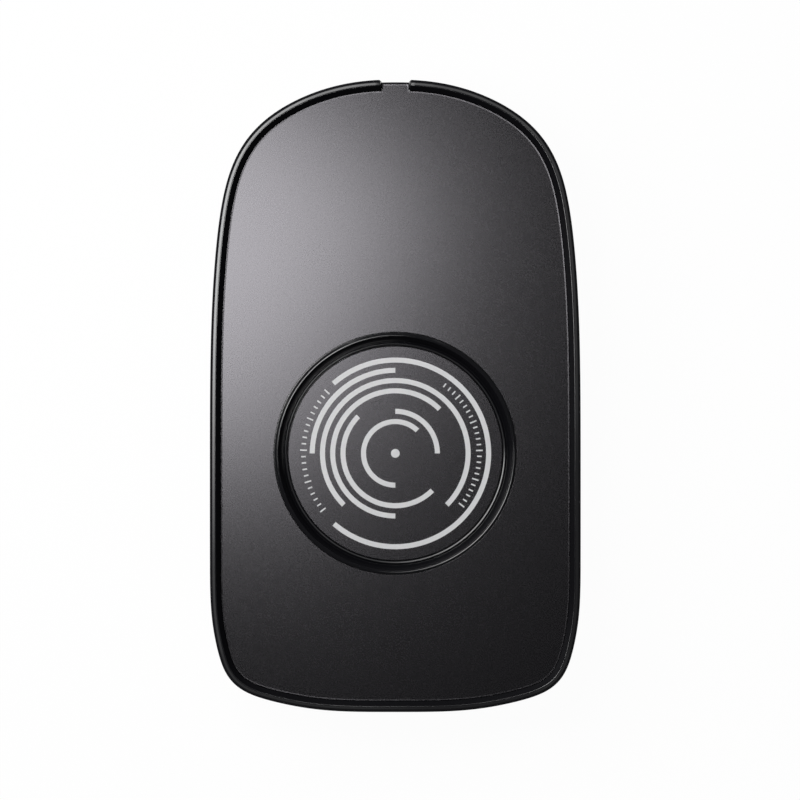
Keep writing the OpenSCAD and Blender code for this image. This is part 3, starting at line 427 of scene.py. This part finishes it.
def cutBy(piece, cutters, operation="DIFFERENCE", smooth=folds["angle"]):
    # takes the cutters' shapes out of a piece, or adds them to it
    for cutter in cutters:
        change = piece.modifiers.new("cut", "BOOLEAN")
        change.operation = operation
        change.solver = "EXACT"
        change.object = cutter
    shown = bpy.context.evaluated_depsgraph_get()
    mesh = bpy.data.meshes.new_from_object(piece.evaluated_get(shown))
    piece.modifiers.clear()
    old = piece.data
    piece.data = mesh
    bpy.data.meshes.remove(old)
    for cutter in cutters:
        bpy.data.objects.remove(cutter)
    fold(mesh, smooth)


def finishPiece(piece, bodyName, slot, *replaced):
    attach(piece, bodyName)
    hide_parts(*replaced)
    print("piece made:", piece.name)


def loft(build, rings, closed=False):
    # a skin through rings of equally many points, with end caps unless it closes on itself
    rows = [[build.verts.new(point) for point in ring] for ring in rings]
    count = len(rows[0])
    spans = list(zip(rows, rows[1:]))
    if closed:
        spans.append((rows[-1], rows[0]))
    for upper, lower in spans:
        for i in range(count):
            j = (i + 1) % count
            build.faces.new((upper[i], upper[j], lower[j], lower[i]))
    if not closed:
        build.faces.new(rows[0])
        build.faces.new(list(reversed(rows[-1])))


def circle(radius, height, centre, steps):
    turn = 2 * math.pi / steps
    return [(centre[0] + radius * math.cos(i * turn), centre[1] + radius * math.sin(i * turn), height)
            for i in range(steps)]


def lathe(build, profile, centre, steps, closed=False):
    # turns a profile of (radius, height) round a vertical axis
    loft(build, [circle(radius, z, centre, steps) for radius, z in profile], closed)


def polar(radius, angle):
    turn = math.radians(angle)
    return radius * math.cos(turn), radius * math.sin(turn)


def arc(centre, radius, start, end, steps):
    # points of an arc in a plane, angles in degrees
    points = []
    for k in range(steps + 1):
        x, y = polar(radius, start + (end - start) * k / steps)
        points.append((centre[0] + x, centre[1] + y))
    return points


def bend(point, radius, start, end, steps):
    # an arc that begins at a point
    x, y = polar(radius, start)
    return arc((point[0] - x, point[1] - y), radius, start, end, steps)


def between(first, last, share):
    return tuple(a + (b - a) * share for a, b in zip(first, last))


def slopeTo(point, radius, slope):
    # where a slope from a point reaches a radius
    return radius, point[1] + (radius - point[0]) * math.tan(math.radians(slope))


def prism(build, points, low, high):
    loft(build, [[(x, y, low) for x, y in points], [(x, y, high) for x, y in points]])


def prismStrip(build, outer, inner, low, high):
    # a closed bent strip between two lines of equally many points
    rows = []
    for far, near in zip(outer, inner):
        rows.append([build.verts.new((*near, low)), build.verts.new((*far, low)),
                     build.verts.new((*far, high)), build.verts.new((*near, high))])
    for one, two in zip(rows, rows[1:]):
        for i in range(4):
            j = (i + 1) % 4
            build.faces.new((one[i], one[j], two[j], two[i]))
    build.faces.new(list(reversed(rows[0])))
    build.faces.new(rows[-1])


def roundedBar(wide, high, radius, steps):
    # the outline of a bar with rounded corners, centred
    across, up = wide / 2 - radius, high / 2 - radius
    corners = [(across, up, 0), (-across, up, 90), (-across, -up, 180), (across, -up, 270)]
    points = []
    for x, y, start in corners:
        points += arc((x, y), radius, start, start + 90, steps)
    return points


def pairs(places):
    return [(side * x, y) for x, y in places for side in (-1, 1)]


def uprightBars(name, places, radius, levels, steps):
    # round bars at the places and at their mirror images
    build = bmesh.new()
    for at in pairs(places):
        loft(build, [circle(radius, z, at, steps) for z in levels])
    return keepMesh(name, build)


# ---- the body's outline

body = {
    "length": 125.0, "width": 73.3, "height": 18.0, "tailReach": 34.5,
    "noseForm": (2.321, 6.526), "tailForm": (3.566, 5.266),
    "noseDent": (0.42, 0.73), "tailDent": (0.46, 0.84), "noseSteps": 150, "tailSteps": 110,
    "sideLead": 0.25, "tuck": 1.3, "partLine": 5.0, "roundFrom": 16.4,
}
noseY = body["length"] / 2
halfWide = body["width"] / 2
widestY = body["tailReach"] - noseY
noseReach = body["length"] - body["tailReach"]
ends = {"nose": (noseReach, body["noseForm"], body["noseDent"]),
        "tail": (body["tailReach"], body["tailForm"], body["tailDent"])}
notch = {"halfWide": 2.7, "endRound": 0.55, "steps": 9, "clear": 0.3, "floorSteps": 4}


def quarter(s, end):
    # a point of the outline and its outward direction: a rounded-square curve that is drawn in a
    # little, twice, between the widest line and the middle of its end
    reach, form, (depth, power) = ends[end]
    across = math.cos(s * math.pi / 2) ** (2 / form[0])
    along = math.sin(s * math.pi / 2) ** (2 / form[1])
    lean = Vector((form[0] / halfWide * across ** (form[0] - 1), form[1] / reach * along ** (form[1] - 1)))
    lean.normalize()
    dent = depth * math.sin(2 * math.pi * s ** power) ** 2
    return halfWide * across - dent * lean.x, reach * along - dent * lean.y, lean.x, lean.y


def noseColumn(x):
    share = math.acos((x / halfWide) ** (body["noseForm"][0] / 2)) / (math.pi / 2)
    return quarter(share, "nose")


def column(point, side, end, rise=1.0):
    x, y, leanX, leanY = point
    return side * x, widestY + end * y, side * leanX, end * leanY, rise


def noseSide(gap, endRound):
    # the right half of the nose, from the widest line to the middle: rise says how high the rim
    # stands there, 0 in the notch and rising on a quarter circle at its sides
    columns = []
    clearX = gap + endRound + notch["clear"]
    for i in range(body["noseSteps"]):
        s = i / body["noseSteps"]
        point = quarter(body["sideLead"] * s + (1 - body["sideLead"]) * s ** 3, "nose")
        if point[0] > clearX:
            columns.append((point, 1.0))
    for k in range(notch["steps"], -1, -1):
        turn = math.pi / 2 * k / notch["steps"]
        columns.append((noseColumn(gap + endRound * (1 - math.cos(turn))), math.sin(turn)))
    for k in range(notch["floorSteps"], 0, -1):
        columns.append((noseColumn(gap * (k - 0.5) / notch["floorSteps"]), 0.0))
    return columns


def outlineColumns(gap, endRound):
    right = noseSide(gap, endRound)
    tail = [quarter(i / body["tailSteps"], "tail") for i in range(body["tailSteps"] + 1)]
    columns = [column(point, 1, 1, rise) for point, rise in right]
    columns.append(column(quarter(1.0, "nose"), 1, 1, 0.0))
    columns += [column(point, -1, 1, rise) for point, rise in reversed(right)]
    columns += [column(point, -1, -1) for point in tail[1:]]
    columns += [column(point, 1, -1) for point in reversed(tail[1:-1])]
    return columns


def ringAt(columns, inset, height):
    return [(x - inset * leanX, y - inset * leanY, height) for x, y, leanX, leanY, rise in columns]


def tuckAt(height):
    drop = (body["roundFrom"] - height) / (body["roundFrom"] - body["partLine"])
    return body["tuck"] * drop * drop


# ---- top casing

# The rim's two faces are (width, slope) steps that go down from its crest.
casing = {
    "rimWide": 2.12, "cornerShare": 0.5, "shoulder": 0.03, "shoulderSteps": 4,
    "outerFace": ((0.03, 4), (0.03, 10), (0.04, 16), (0.05, 21), (0.12, 23), (0.13, 25), (0.13, 27),
                  (0.1, 28.5), (0.04, 33), (0.13, 36), (0.14, 37), (0.12, 38)),
    "innerFace": ((0.02, 6), (0.02, 14), (0.02, 24), (0.02, 34), (0.03, 44), (0.03, 51)),
    "slopeShares": (0.94, 0.5, 0.06), "slopeEnd": (2.08, 16.55), "footTop": 15.95, "footRise": 0.02,
    "deckTop": 15.6, "deckUnder": 14.0, "deckEdge": 0.2,
    "wall": 2.0, "wallLevels": (8.0, 11.0), "wallSteps": 9, "edge": 0.15, "recess": 0.42,
    "recessFrom": 11.0,
    "well": {"at": (0.0, -11.4), "radius": 22.6, "span": (12, 20), "steps": 160},
    "inlet": {"height": 8.63, "halfWide": 4.77, "halfHigh": 1.93, "inner": 57.7, "flare": 0.84,
              "flareFrom": 61.4, "past": 0.6, "steps": 12},
    "switch": {"sunk": 0.9, "pocket": (4.5, 9.4), "pocketForm": ((0.0, 0.0), (0.2, 0.0), (1.6, 0.5)),
               "round": 1.0, "roundSteps": 8, "slot": (2.1, 4.6), "slotDeep": 4.0, "slotRound": 0.25,
               "slotSteps": 3, "overlap": 0.1, "travel": 2.0},
    "bosses": {"radius": 3.0, "low": 3.25, "into": 0.3, "steps": 40, "hole": 1.01, "holeSpan": (2, 12),
               "holeSteps": 24, "at": ((18, 50), (25.5, -38))},
}
discAt = casing["well"]["at"]


def slopesFrom(start, steps, way):
    # points that go down from a start by (width, slope) steps, inwards or outwards
    points = []
    inset, height = start
    for width, slope in steps:
        inset += way * width
        height -= width * math.tan(math.radians(slope))
        points.append((inset, height))
    return points


def crestOf(spec):
    return spec["shoulder"] + sum(width for width, slope in spec["outerFace"])


def rimProfile(spec):
    # (inset, height) from the rim's foot over its crest to the outer wall: a steep straight inner
    # slope, a narrow crest, a gently sloping outer face and a crisp shoulder
    crest = (crestOf(spec), body["height"])
    inner = slopesFrom(crest, spec["innerFace"], 1)
    outer = slopesFrom(crest, spec["outerFace"], -1)
    wide, soft = spec["rimWide"], spec["shoulder"]
    rings = [(wide, spec["deckTop"] + spec["footRise"]), (wide, spec["footTop"]), spec["slopeEnd"]]
    rings += [between(inner[-1], spec["slopeEnd"], share) for share in spec["slopeShares"]]
    rings += inner[::-1] + [crest] + outer
    low = outer[-1][1] - soft
    for k in range(1, spec["shoulderSteps"] + 1):
        turn = math.pi / 2 * k / spec["shoulderSteps"]
        rings.append((soft * (1 - math.sin(turn)), low + soft * math.cos(turn)))
    rings.append((0.0, body["roundFrom"]))
    return rings


def rimRing(columns, inset, height, spec):
    # the rim's ends sink to the deck and narrow as they reach the notch
    crest = crestOf(spec)
    points = []
    for x, y, leanX, leanY, rise in columns:
        drawn = crest + (inset - crest) * (1 - spec["cornerShare"] * (1 - rise))
        drawn += spec["recess"] * (1 - rise) * (inset < crest)
        level = spec["deckTop"] + (height - spec["deckTop"]) * rise
        points.append((x - drawn * leanX, y - drawn * leanY, level))
    return points


def wallRing(columns, height, spec):
    # the outer wall, drawn in a little under the notch
    share = max(0.0, (height - spec["recessFrom"]) / (spec["deckTop"] - spec["recessFrom"]))
    points = []
    for x, y, leanX, leanY, rise in columns:
        drawn = tuckAt(height) + spec["recess"] * share * (1 - rise)
        points.append((x - drawn * leanX, y - drawn * leanY, height))
    return points


def casingShell(spec):
    columns = outlineColumns(notch["halfWide"], notch["endRound"])
    rings = [ringAt(columns, spec["rimWide"], spec["deckTop"])]
    rings += [rimRing(columns, inset, height, spec) for inset, height in rimProfile(spec)]
    low, high = body["partLine"], spec["deckTop"]
    for k in range(spec["wallSteps"] + 1):
        rings.append(wallRing(columns, high + (low + spec["edge"] - high) * k / spec["wallSteps"], spec))
    foot = tuckAt(low)
    rings.append(ringAt(columns, foot + spec["edge"], low))
    rings.append(ringAt(columns, foot + spec["wall"], low))
    for height in spec["wallLevels"]:
        rings.append(ringAt(columns, tuckAt(height) + spec["wall"], height))
    rings.append(ringAt(columns, spec["rimWide"] + spec["deckEdge"], spec["deckUnder"]))
    build = bmesh.new()
    loft(build, rings)
    return keepMesh("topCasing", build, "case_gloss")


def wellCutter(spec):
    build = bmesh.new()
    lathe(build, [(spec["radius"], z) for z in spec["span"]], spec["at"], spec["steps"])
    return keepMesh("wellCutter", build)


def inletCutter(spec):
    build = bmesh.new()
    rows = []
    for y, grow in ((spec["inner"], 0), (spec["flareFrom"], 0), (noseY + spec["past"], spec["flare"])):
        shape = roundedBar(2 * (spec["halfWide"] + grow), 2 * (spec["halfHigh"] + grow),
                           spec["halfHigh"] + grow - hair, spec["steps"])
        rows.append([(x, y, spec["height"] + z) for x, z in shape])
    loft(build, rows)
    return keepMesh("inletCutter", build)


def switchCutters(spec):
    # the pocket round the slider's tip and the slot that the slider runs in
    shoe, tip = (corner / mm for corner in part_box("switch_slider"))
    atX = tip.x - spec["sunk"]
    atY, atZ = (shoe.y + tip.y + spec["travel"]) / 2, (shoe.z + tip.z) / 2
    high, wide = spec["pocket"]
    pocket = bmesh.new()
    rows = []
    for out, grow in spec["pocketForm"]:
        shape = roundedBar(wide + 2 * grow, high + 2 * grow, spec["round"] + grow, spec["roundSteps"])
        rows.append([(atX + out, atY + y, atZ + z) for y, z in shape])
    loft(pocket, rows)
    high, wide = spec["slot"]
    slot = bmesh.new()
    shape = roundedBar(wide, high, spec["slotRound"], spec["slotSteps"])
    loft(slot, [[(x, atY + y, atZ + z) for y, z in shape]
                for x in (tip.x - spec["slotDeep"], atX + spec["overlap"])])
    return [keepMesh("pocketCutter", pocket), keepMesh("slotCutter", slot)]


def makeCasing(spec):
    piece = casingShell(spec)
    boss = spec["bosses"]
    levels = (boss["low"], spec["deckUnder"] + boss["into"])
    cutBy(piece, [uprightBars("bosses", boss["at"], boss["radius"], levels, boss["steps"])], "UNION")
    cutters = [wellCutter(spec["well"])]
    cutters.append(uprightBars("holeCutter", boss["at"], boss["hole"], boss["holeSpan"], boss["holeSteps"]))
    cutters.append(inletCutter(spec["inlet"]))
    cutters += switchCutters(spec["switch"])
    cutBy(piece, cutters)
    finishPiece(piece, "base", "case_gloss", "top_casing")


makeCasing(casing)


# ---- tray panel

panel = {"inset": 2.15, "top": 16.4, "under": casing["deckTop"], "round": 0.06, "roundSteps": 7,
         "lip": 0.3, "lipRise": 5.2, "lipStart": 0.02, "lipEnd": 0.03,
         "tongueHalf": 2.6, "tongueRound": 0.02, "tongueEnd": 61.66, "tongueDraw": 0.6,
         "hole": 24.05, "holeRound": 0.05, "holeSpan": (12, 20), "holeSteps": 200, "smooth": 30}


def panelRing(columns, inset, height, spec):
    points = []
    drawn = spec["inset"] + inset
    for x, y, leanX, leanY, rise in columns:
        if y > 0 and rise < hair:  # a column of the tongue
            side = max(-1, min(1, x / spec["tongueHalf"]))
            points.append((side * (spec["tongueHalf"] - inset * spec["tongueDraw"]),
                           spec["tongueEnd"] - inset, height))
        else:
            points.append((x - drawn * leanX, y - drawn * leanY, height))
    return points


def panelHole(spec):
    build = bmesh.new()
    soft, (low, high) = spec["holeRound"], spec["holeSpan"]
    edge = spec["hole"] + soft
    profile = [(spec["hole"], low)] + arc((edge, spec["top"] - soft), soft, 180, 90, spec["roundSteps"])
    lathe(build, profile + [(edge, high)], discAt, spec["holeSteps"])
    return keepMesh("holeCutter", build)


def makePanel(spec):
    columns = outlineColumns(spec["tongueHalf"], spec["tongueRound"])
    # a fine lip rises to the edge and draws a light line along it
    soft, lip = spec["round"], spec["lip"]
    slope = math.tan(math.radians(spec["lipRise"]))
    profile = [(inset, spec["top"] + (lip - inset) * slope)
               for inset in (lip, lip - spec["lipStart"], soft + spec["lipEnd"])]
    lipTop = spec["top"] + (lip - soft) * slope
    profile += arc((soft, lipTop - soft), soft, 90 - spec["lipRise"], 180, spec["roundSteps"])
    profile.append((0.0, spec["under"]))
    build = bmesh.new()
    loft(build, [panelRing(columns, inset, height, spec) for inset, height in profile])
    piece = keepMesh("trayPanel", build, "panel_satin", spec["smooth"])
    cutBy(piece, [panelHole(spec)], smooth=spec["smooth"])
    finishPiece(piece, "base", "panel_satin", "tray_panel")


makePanel(panel)


# ---- bezel, disc and printed rings

bezel = {"bore": 21.42, "trap": 21.3, "trapTop": 15.0, "skirt": 22.5, "outer": 23.88,
         "deckTop": casing["deckTop"], "under": casing["deckUnder"],
         "bead": 0.16, "beadTop": 15.46, "beadSteps": 8, "cheek": 0.15, "cheekSlope": 26, "cheekSteps": 4,
         "ledgeEnd": 22.1, "ledgeSlope": 39, "foot": 0.05, "coneEnd": 23.2, "coneSlope": 57,
         "coneShares": (0.05, 0.5, 0.95), "ridge": 0.04, "turnSteps": 6,
         "hollow": 0.5, "hollowFrom": 18, "hollowTo": 18, "hollowSteps": 12, "fall": 0.2,
         "steps": 224, "smooth": 30}


def bezelSurface(spec):
    # from the bore outwards: a bead with a flat cheek, a ledge, a steep cone up to a narrow ridge
    # and a shallow hollow
    bead, cheek, ledge = spec["bead"], spec["cheekSlope"], spec["ledgeSlope"]
    cone, dip = spec["coneSlope"], spec["hollowFrom"]
    beadR, beadZ = spec["bore"] + bead, spec["beadTop"] - bead
    drop = spec["cheek"] * math.tan(math.radians(cheek))
    surface = arc((beadR, beadZ - drop), bead, 180, 90 + cheek, spec["cheekSteps"])
    surface += arc((beadR + spec["cheek"], beadZ), bead, 90 + cheek, 90 - ledge, spec["beadSteps"])
    low = slopeTo(surface[-1], spec["ledgeEnd"], -ledge)
    surface += bend(low, spec["foot"], 270 - ledge, 270 + cone, spec["turnSteps"])
    low, top = surface[-1], slopeTo(surface[-1], spec["coneEnd"], cone)
    surface += [between(low, top, share) for share in spec["coneShares"]]
    surface += bend(top, spec["ridge"], 90 + cone, 90 - dip, spec["turnSteps"])
    surface += bend(surface[-1], spec["hollow"], 270 - dip, 270 + spec["hollowTo"],
                    spec["hollowSteps"])[1:]
    surface.append((spec["outer"], surface[-1][1] - spec["fall"]))
    return surface


def makeBezel(spec):
    # below the surface, a step at the bore closes the gap to the disc
    profile = [(spec["bore"], spec["trapTop"]), (spec["trap"], spec["trapTop"]),
               (spec["trap"], spec["under"]), (spec["skirt"], spec["under"]),
               (spec["skirt"], spec["deckTop"]), (spec["outer"], spec["deckTop"])]
    profile += bezelSurface(spec)[::-1]
    build = bmesh.new()
    lathe(build, profile, discAt, spec["steps"], closed=True)
    piece = keepMesh("discBezel", build, "bezel_gloss", spec["smooth"])
    finishPiece(piece, "base", "bezel_gloss", "disc_bezel")


makeBezel(bezel)

disc = {"radius": 21.26, "under": 13.6, "top": 15.4, "bevel": 0.16, "bevelSteps": 6,
        "wellRadius": 3.4, "wellHigh": 1.2, "pegs": 3, "pegRadius": 1.0, "pegAt": 10.0, "pegLong": 1.6,
        "pegSteps": 32, "steps": 192, "smooth": 30}


def makeDisc(spec):
    top, under, soft = spec["top"], spec["under"], spec["bevel"]
    build = bmesh.new()
    profile = [(spec["wellRadius"], under + spec["wellHigh"]), (spec["wellRadius"], under),
               (spec["radius"], under)]
    profile += arc((spec["radius"] - soft, top - soft), soft, 0, 90, spec["bevelSteps"])
    lathe(build, profile, discAt, spec["steps"])
    for turn in range(0, 360, 360 // spec["pegs"]):
        x, y = polar(spec["pegAt"], turn)
        at = (discAt[0] + x, discAt[1] + y)
        levels = (under - spec["pegLong"], under)
        loft(build, [circle(spec["pegRadius"], z, at, spec["pegSteps"]) for z in levels])
    piece = keepMesh("turntableDisc", build, "disc_satin", spec["smooth"])
    finishPiece(piece, "turntable", "disc_satin", "turntable_disc")


makeDisc(disc)

# Each arc is (start, sweep), from the inner ring outwards. Each run of ticks is (start, end, radius).
rings = {"first": 6.3, "step": 2.03, "wide": 1.0, "leastSteps": 12, "stepTurn": 2,
         "low": disc["top"], "thick": 0.05, "dot": 0.87, "dotSteps": 48,
         "arcs": ((46, 224), (0, 90), (135, 180), (45, 225), (315, 270), (90, 90), (229, 262.5)),
         "ticks": {"step": 4, "wide": 0.28, "short": 0.9, "long": 1.35, "every": 5,
                   "runs": ((-38, 54, 16.65), (138, 221, 18.2))}}


def addTick(build, turn, radius, reach, wide, low, high):
    out, along = Vector(polar(1, turn)), Vector(polar(1, turn + 90))
    corners = [Vector(discAt) + out * (radius + x * reach / 2) + along * y * wide / 2
               for x, y in ((-1, -1), (1, -1), (1, 1), (-1, 1))]
    prism(build, corners, low, high)


def makeRings(spec):
    build = bmesh.new()
    low, high = spec["low"], spec["low"] + spec["thick"]
    for k, (start, sweep) in enumerate(spec["arcs"]):
        radius = spec["first"] + k * spec["step"]
        steps = max(spec["leastSteps"], round(sweep / spec["stepTurn"]))
        outer = arc(discAt, radius + spec["wide"] / 2, start, start + sweep, steps)
        inner = arc(discAt, radius - spec["wide"] / 2, start, start + sweep, steps)
        prismStrip(build, outer, inner, low, high)
    loft(build, [circle(spec["dot"], z, discAt, spec["dotSteps"]) for z in (low, high)])
    ticks = spec["ticks"]
    for start, end, radius in ticks["runs"]:
        for count, turn in enumerate(range(start, end + 1, ticks["step"])):
            reach = ticks["short"] if count % ticks["every"] else ticks["long"]
            addTick(build, turn, radius, reach, ticks["wide"], low, high)
    finishPiece(keepMesh("printedRings", build, "ring_ink"), "turntable", "ring_ink", "printed_rings")


makeRings(rings)


# ---- bottom cover, screws and feet

cover = {"under": 0.8, "floor": 2.4, "lipTop": 5.8, "lipOut": 3.4, "lipThick": 1.0, "seat": 4.7,
         "skirt": 1.4, "edgeIn": 4.0, "edgeSteps": 14, "smooth": 24,
         "screws": {"at": casing["bosses"]["at"], "pocket": 2.7, "depth": 1.0, "mouth": 0.4,
                    "chamfer": 0.15, "hole": 1.2, "holeTop": 7, "steps": 48},
         "feet": {"at": ((23, 41), (22, -51)), "seat": 5.1, "depth": 0.4, "from": 0.2, "steps": 72}}


def coverShell(spec):
    columns = outlineColumns(notch["halfWide"], notch["endRound"])
    inner = spec["lipOut"] + spec["lipThick"]
    rings = [ringAt(columns, inner, spec["floor"]), ringAt(columns, inner, spec["lipTop"]),
             ringAt(columns, spec["lipOut"], spec["lipTop"]), ringAt(columns, spec["lipOut"], spec["seat"])]
    for k in range(spec["edgeSteps"] + 1):
        turn = math.pi / 2 * k / spec["edgeSteps"]
        inset = spec["skirt"] + (spec["edgeIn"] - spec["skirt"]) * (1 - math.cos(turn))
        rings.append(ringAt(columns, inset, spec["seat"] - (spec["seat"] - spec["under"]) * math.sin(turn)))
    build = bmesh.new()
    loft(build, rings)
    return keepMesh("bottomCover", build, "cover_matte", spec["smooth"])


def coverPockets(spec):
    # pockets for the screw heads with their holes, and shallow seats for the feet
    build = bmesh.new()
    screws, feet, under = spec["screws"], spec["feet"], spec["under"]
    rim, mouth, chamfer = screws["pocket"], screws["mouth"], screws["chamfer"]
    top = under + screws["depth"]
    profile = [(rim + mouth, under - mouth), (rim + chamfer, under), (rim, under + chamfer), (rim, top),
               (screws["hole"], top), (screws["hole"], screws["holeTop"])]
    for at in pairs(screws["at"]):
        lathe(build, profile, at, screws["steps"])
    for at in pairs(feet["at"]):
        lathe(build, [(feet["seat"], z) for z in (feet["from"], under + feet["depth"])], at, feet["steps"])
    return keepMesh("pocketCutter", build)


def makeCover(spec):
    piece = coverShell(spec)
    cutBy(piece, [coverPockets(spec)], smooth=spec["smooth"])
    finishPiece(piece, "base", "cover_matte", "bottom_cover")


makeCover(cover)

# The dome is (radius, height over the head's low end).
screw = {"head": 2.4, "headLow": 0.9, "headTop": 1.8,
         "dome": ((0.6, 0.0), (1.3, 0.03), (1.9, 0.12), (2.25, 0.28), (2.4, 0.5)),
         "shank": 1.0, "end": 9.0, "tip": 0.35, "tipLong": 0.8, "steps": 48, "smooth": 30,
         "recess": 1.2, "recessWide": 0.3, "recessFrom": 0.2, "recessDeep": 0.6, "recessTaper": 0.6}


def plusOutline(far, near):
    corner = [(far, near), (near, near), (near, far)]
    points = corner + [(-x, y) for x, y in reversed(corner)]
    return points + [(-x, -y) for x, y in corner] + [(x, -y) for x, y in reversed(corner)]


def makeScrews(spec):
    build = bmesh.new()
    cross = bmesh.new()
    low, top, end = spec["headLow"], spec["headTop"], spec["end"]
    profile = [(radius, low + height) for radius, height in spec["dome"]]
    profile += [(spec["head"], top), (spec["shank"], top), (spec["shank"], end - spec["tipLong"]),
                (spec["tip"], end)]
    plus = plusOutline(spec["recess"], spec["recessWide"])
    levels = ((1.0, low - spec["recessFrom"]), (spec["recessTaper"], low + spec["recessDeep"]))
    for at in pairs(cover["screws"]["at"]):
        lathe(build, profile, at, spec["steps"])
        loft(cross, [[(at[0] + x * share, at[1] + y * share, z) for x, y in plus] for share, z in levels])
    piece = keepMesh("caseScrews", build, "black_screw", spec["smooth"])
    cutBy(piece, [keepMesh("crossCutter", cross)], smooth=spec["smooth"])
    finishPiece(piece, "base", "black_screw", "case_screws")


makeScrews(screw)

foot = {"radius": 5.0, "high": 1.2, "round": 0.35, "roundSteps": 6, "dish": 0.1, "dishFrom": 0.8,
        "dishEdge": 0.4, "groove": 4.1, "steps": 72, "smooth": 40}


def makeFeet(spec):
    build = bmesh.new()
    soft, groove = spec["round"], spec["groove"]
    profile = [(spec["dishFrom"], spec["dish"]), (groove - spec["dishEdge"], spec["dish"]), (groove, 0.0)]
    profile += arc((spec["radius"] - soft, soft), soft, 270, 360, spec["roundSteps"])
    profile.append((spec["radius"], spec["high"]))
    for at in pairs(cover["feet"]["at"]):
        lathe(build, profile, at, spec["steps"])
    piece = keepMesh("rubberFeet", build, "foot_rubber", spec["smooth"])
    finishPiece(piece, "base", "foot_rubber", "rubber_feet")


makeFeet(foot)


# ---- switch slider and power inlet

slider = {"wide": 2.0, "high": 1.5, "round": 0.18, "shoeThick": 0.8, "shoeRound": 0.1, "overlap": 0.1,
          "grooves": 3, "grooveWide": 0.25, "grooveDeep": 0.25, "past": 1.0, "roundSteps": 3,
          "smooth": 40}


def block(build, low, high, soft=0.0):
    made = bmesh.ops.create_cube(build, size=1.0)["verts"]
    size = [b - a for a, b in zip(low, high)]
    middle = [(a + b) / 2 for a, b in zip(low, high)]
    bmesh.ops.scale(build, vec=size, verts=made)
    bmesh.ops.translate(build, vec=middle, verts=made)
    if soft:
        edges = {edge for vert in made for edge in vert.link_edges}
        bmesh.ops.bevel(build, geom=list(edges), offset=soft, segments=slider["roundSteps"],
                        affect="EDGES", profile=0.5)


def makeSlider(spec):
    low, high = (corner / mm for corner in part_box("switch_slider"))
    middle = (low + high) / 2
    shoeEnd, tipX, past = low.x + spec["shoeThick"], high.x, spec["past"]
    startY, endY = middle.y - spec["wide"] / 2, middle.y + spec["wide"] / 2
    lowZ, highZ = middle.z - spec["high"] / 2, middle.z + spec["high"] / 2
    build = bmesh.new()
    block(build, (shoeEnd - spec["overlap"], startY, lowZ), (tipX, endY, highZ), spec["round"])
    piece = keepMesh("switchSlider", build, "slider_plastic", spec["smooth"])
    shoe = bmesh.new()
    block(shoe, low, (shoeEnd, high.y, high.z), spec["shoeRound"])
    cutBy(piece, [keepMesh("shoe", shoe)], "UNION", spec["smooth"])
    cuts = bmesh.new()
    for k in range(1, spec["grooves"] + 1):
        y = startY + k * (endY - startY) / (spec["grooves"] + 1)
        block(cuts, (tipX - spec["grooveDeep"], y - spec["grooveWide"] / 2, lowZ - past),
              (tipX + past, y + spec["grooveWide"] / 2, highZ + past))
    cutBy(piece, [keepMesh("grooves", cuts)], smooth=spec["smooth"])
    finishPiece(piece, "power_switch", "slider_plastic", "switch_slider")


makeSlider(slider)

inletShell = {"wide": 8.94, "high": 3.26, "wall": 0.3, "thin": 0.02, "chamfer": 0.3, "mouth": 60.9,
              "long": 7.3, "back": 1.0, "height": casing["inlet"]["height"], "lip": 0.12,
              "steps": 12, "smooth": 35}


def shellRow(spec, y, inset):
    shape = roundedBar(spec["wide"] - 2 * inset, spec["high"] - 2 * inset,
                       spec["high"] / 2 - inset - hair, spec["steps"])
    return [(x, y, spec["height"] + z) for x, z in shape]


def makeInletShell(spec):
    # from the back along the outside to the mouth, and inside to the back wall
    mouth, lip, wall = spec["mouth"], spec["lip"], spec["wall"]
    end = mouth - spec["long"]
    form = ((end, 0), (mouth - lip, 0), (mouth, lip), (mouth, wall - spec["thin"]),
            (mouth - spec["chamfer"], wall), (end + spec["back"], wall))
    build = bmesh.new()
    loft(build, [shellRow(spec, y, inset) for y, inset in form])
    piece = keepMesh("powerInletShell", build, "inlet_steel", spec["smooth"])
    finishPiece(piece, "base", "inlet_steel", "power_inlet_shell")


makeInletShell(inletShell)

print("all pieces made")
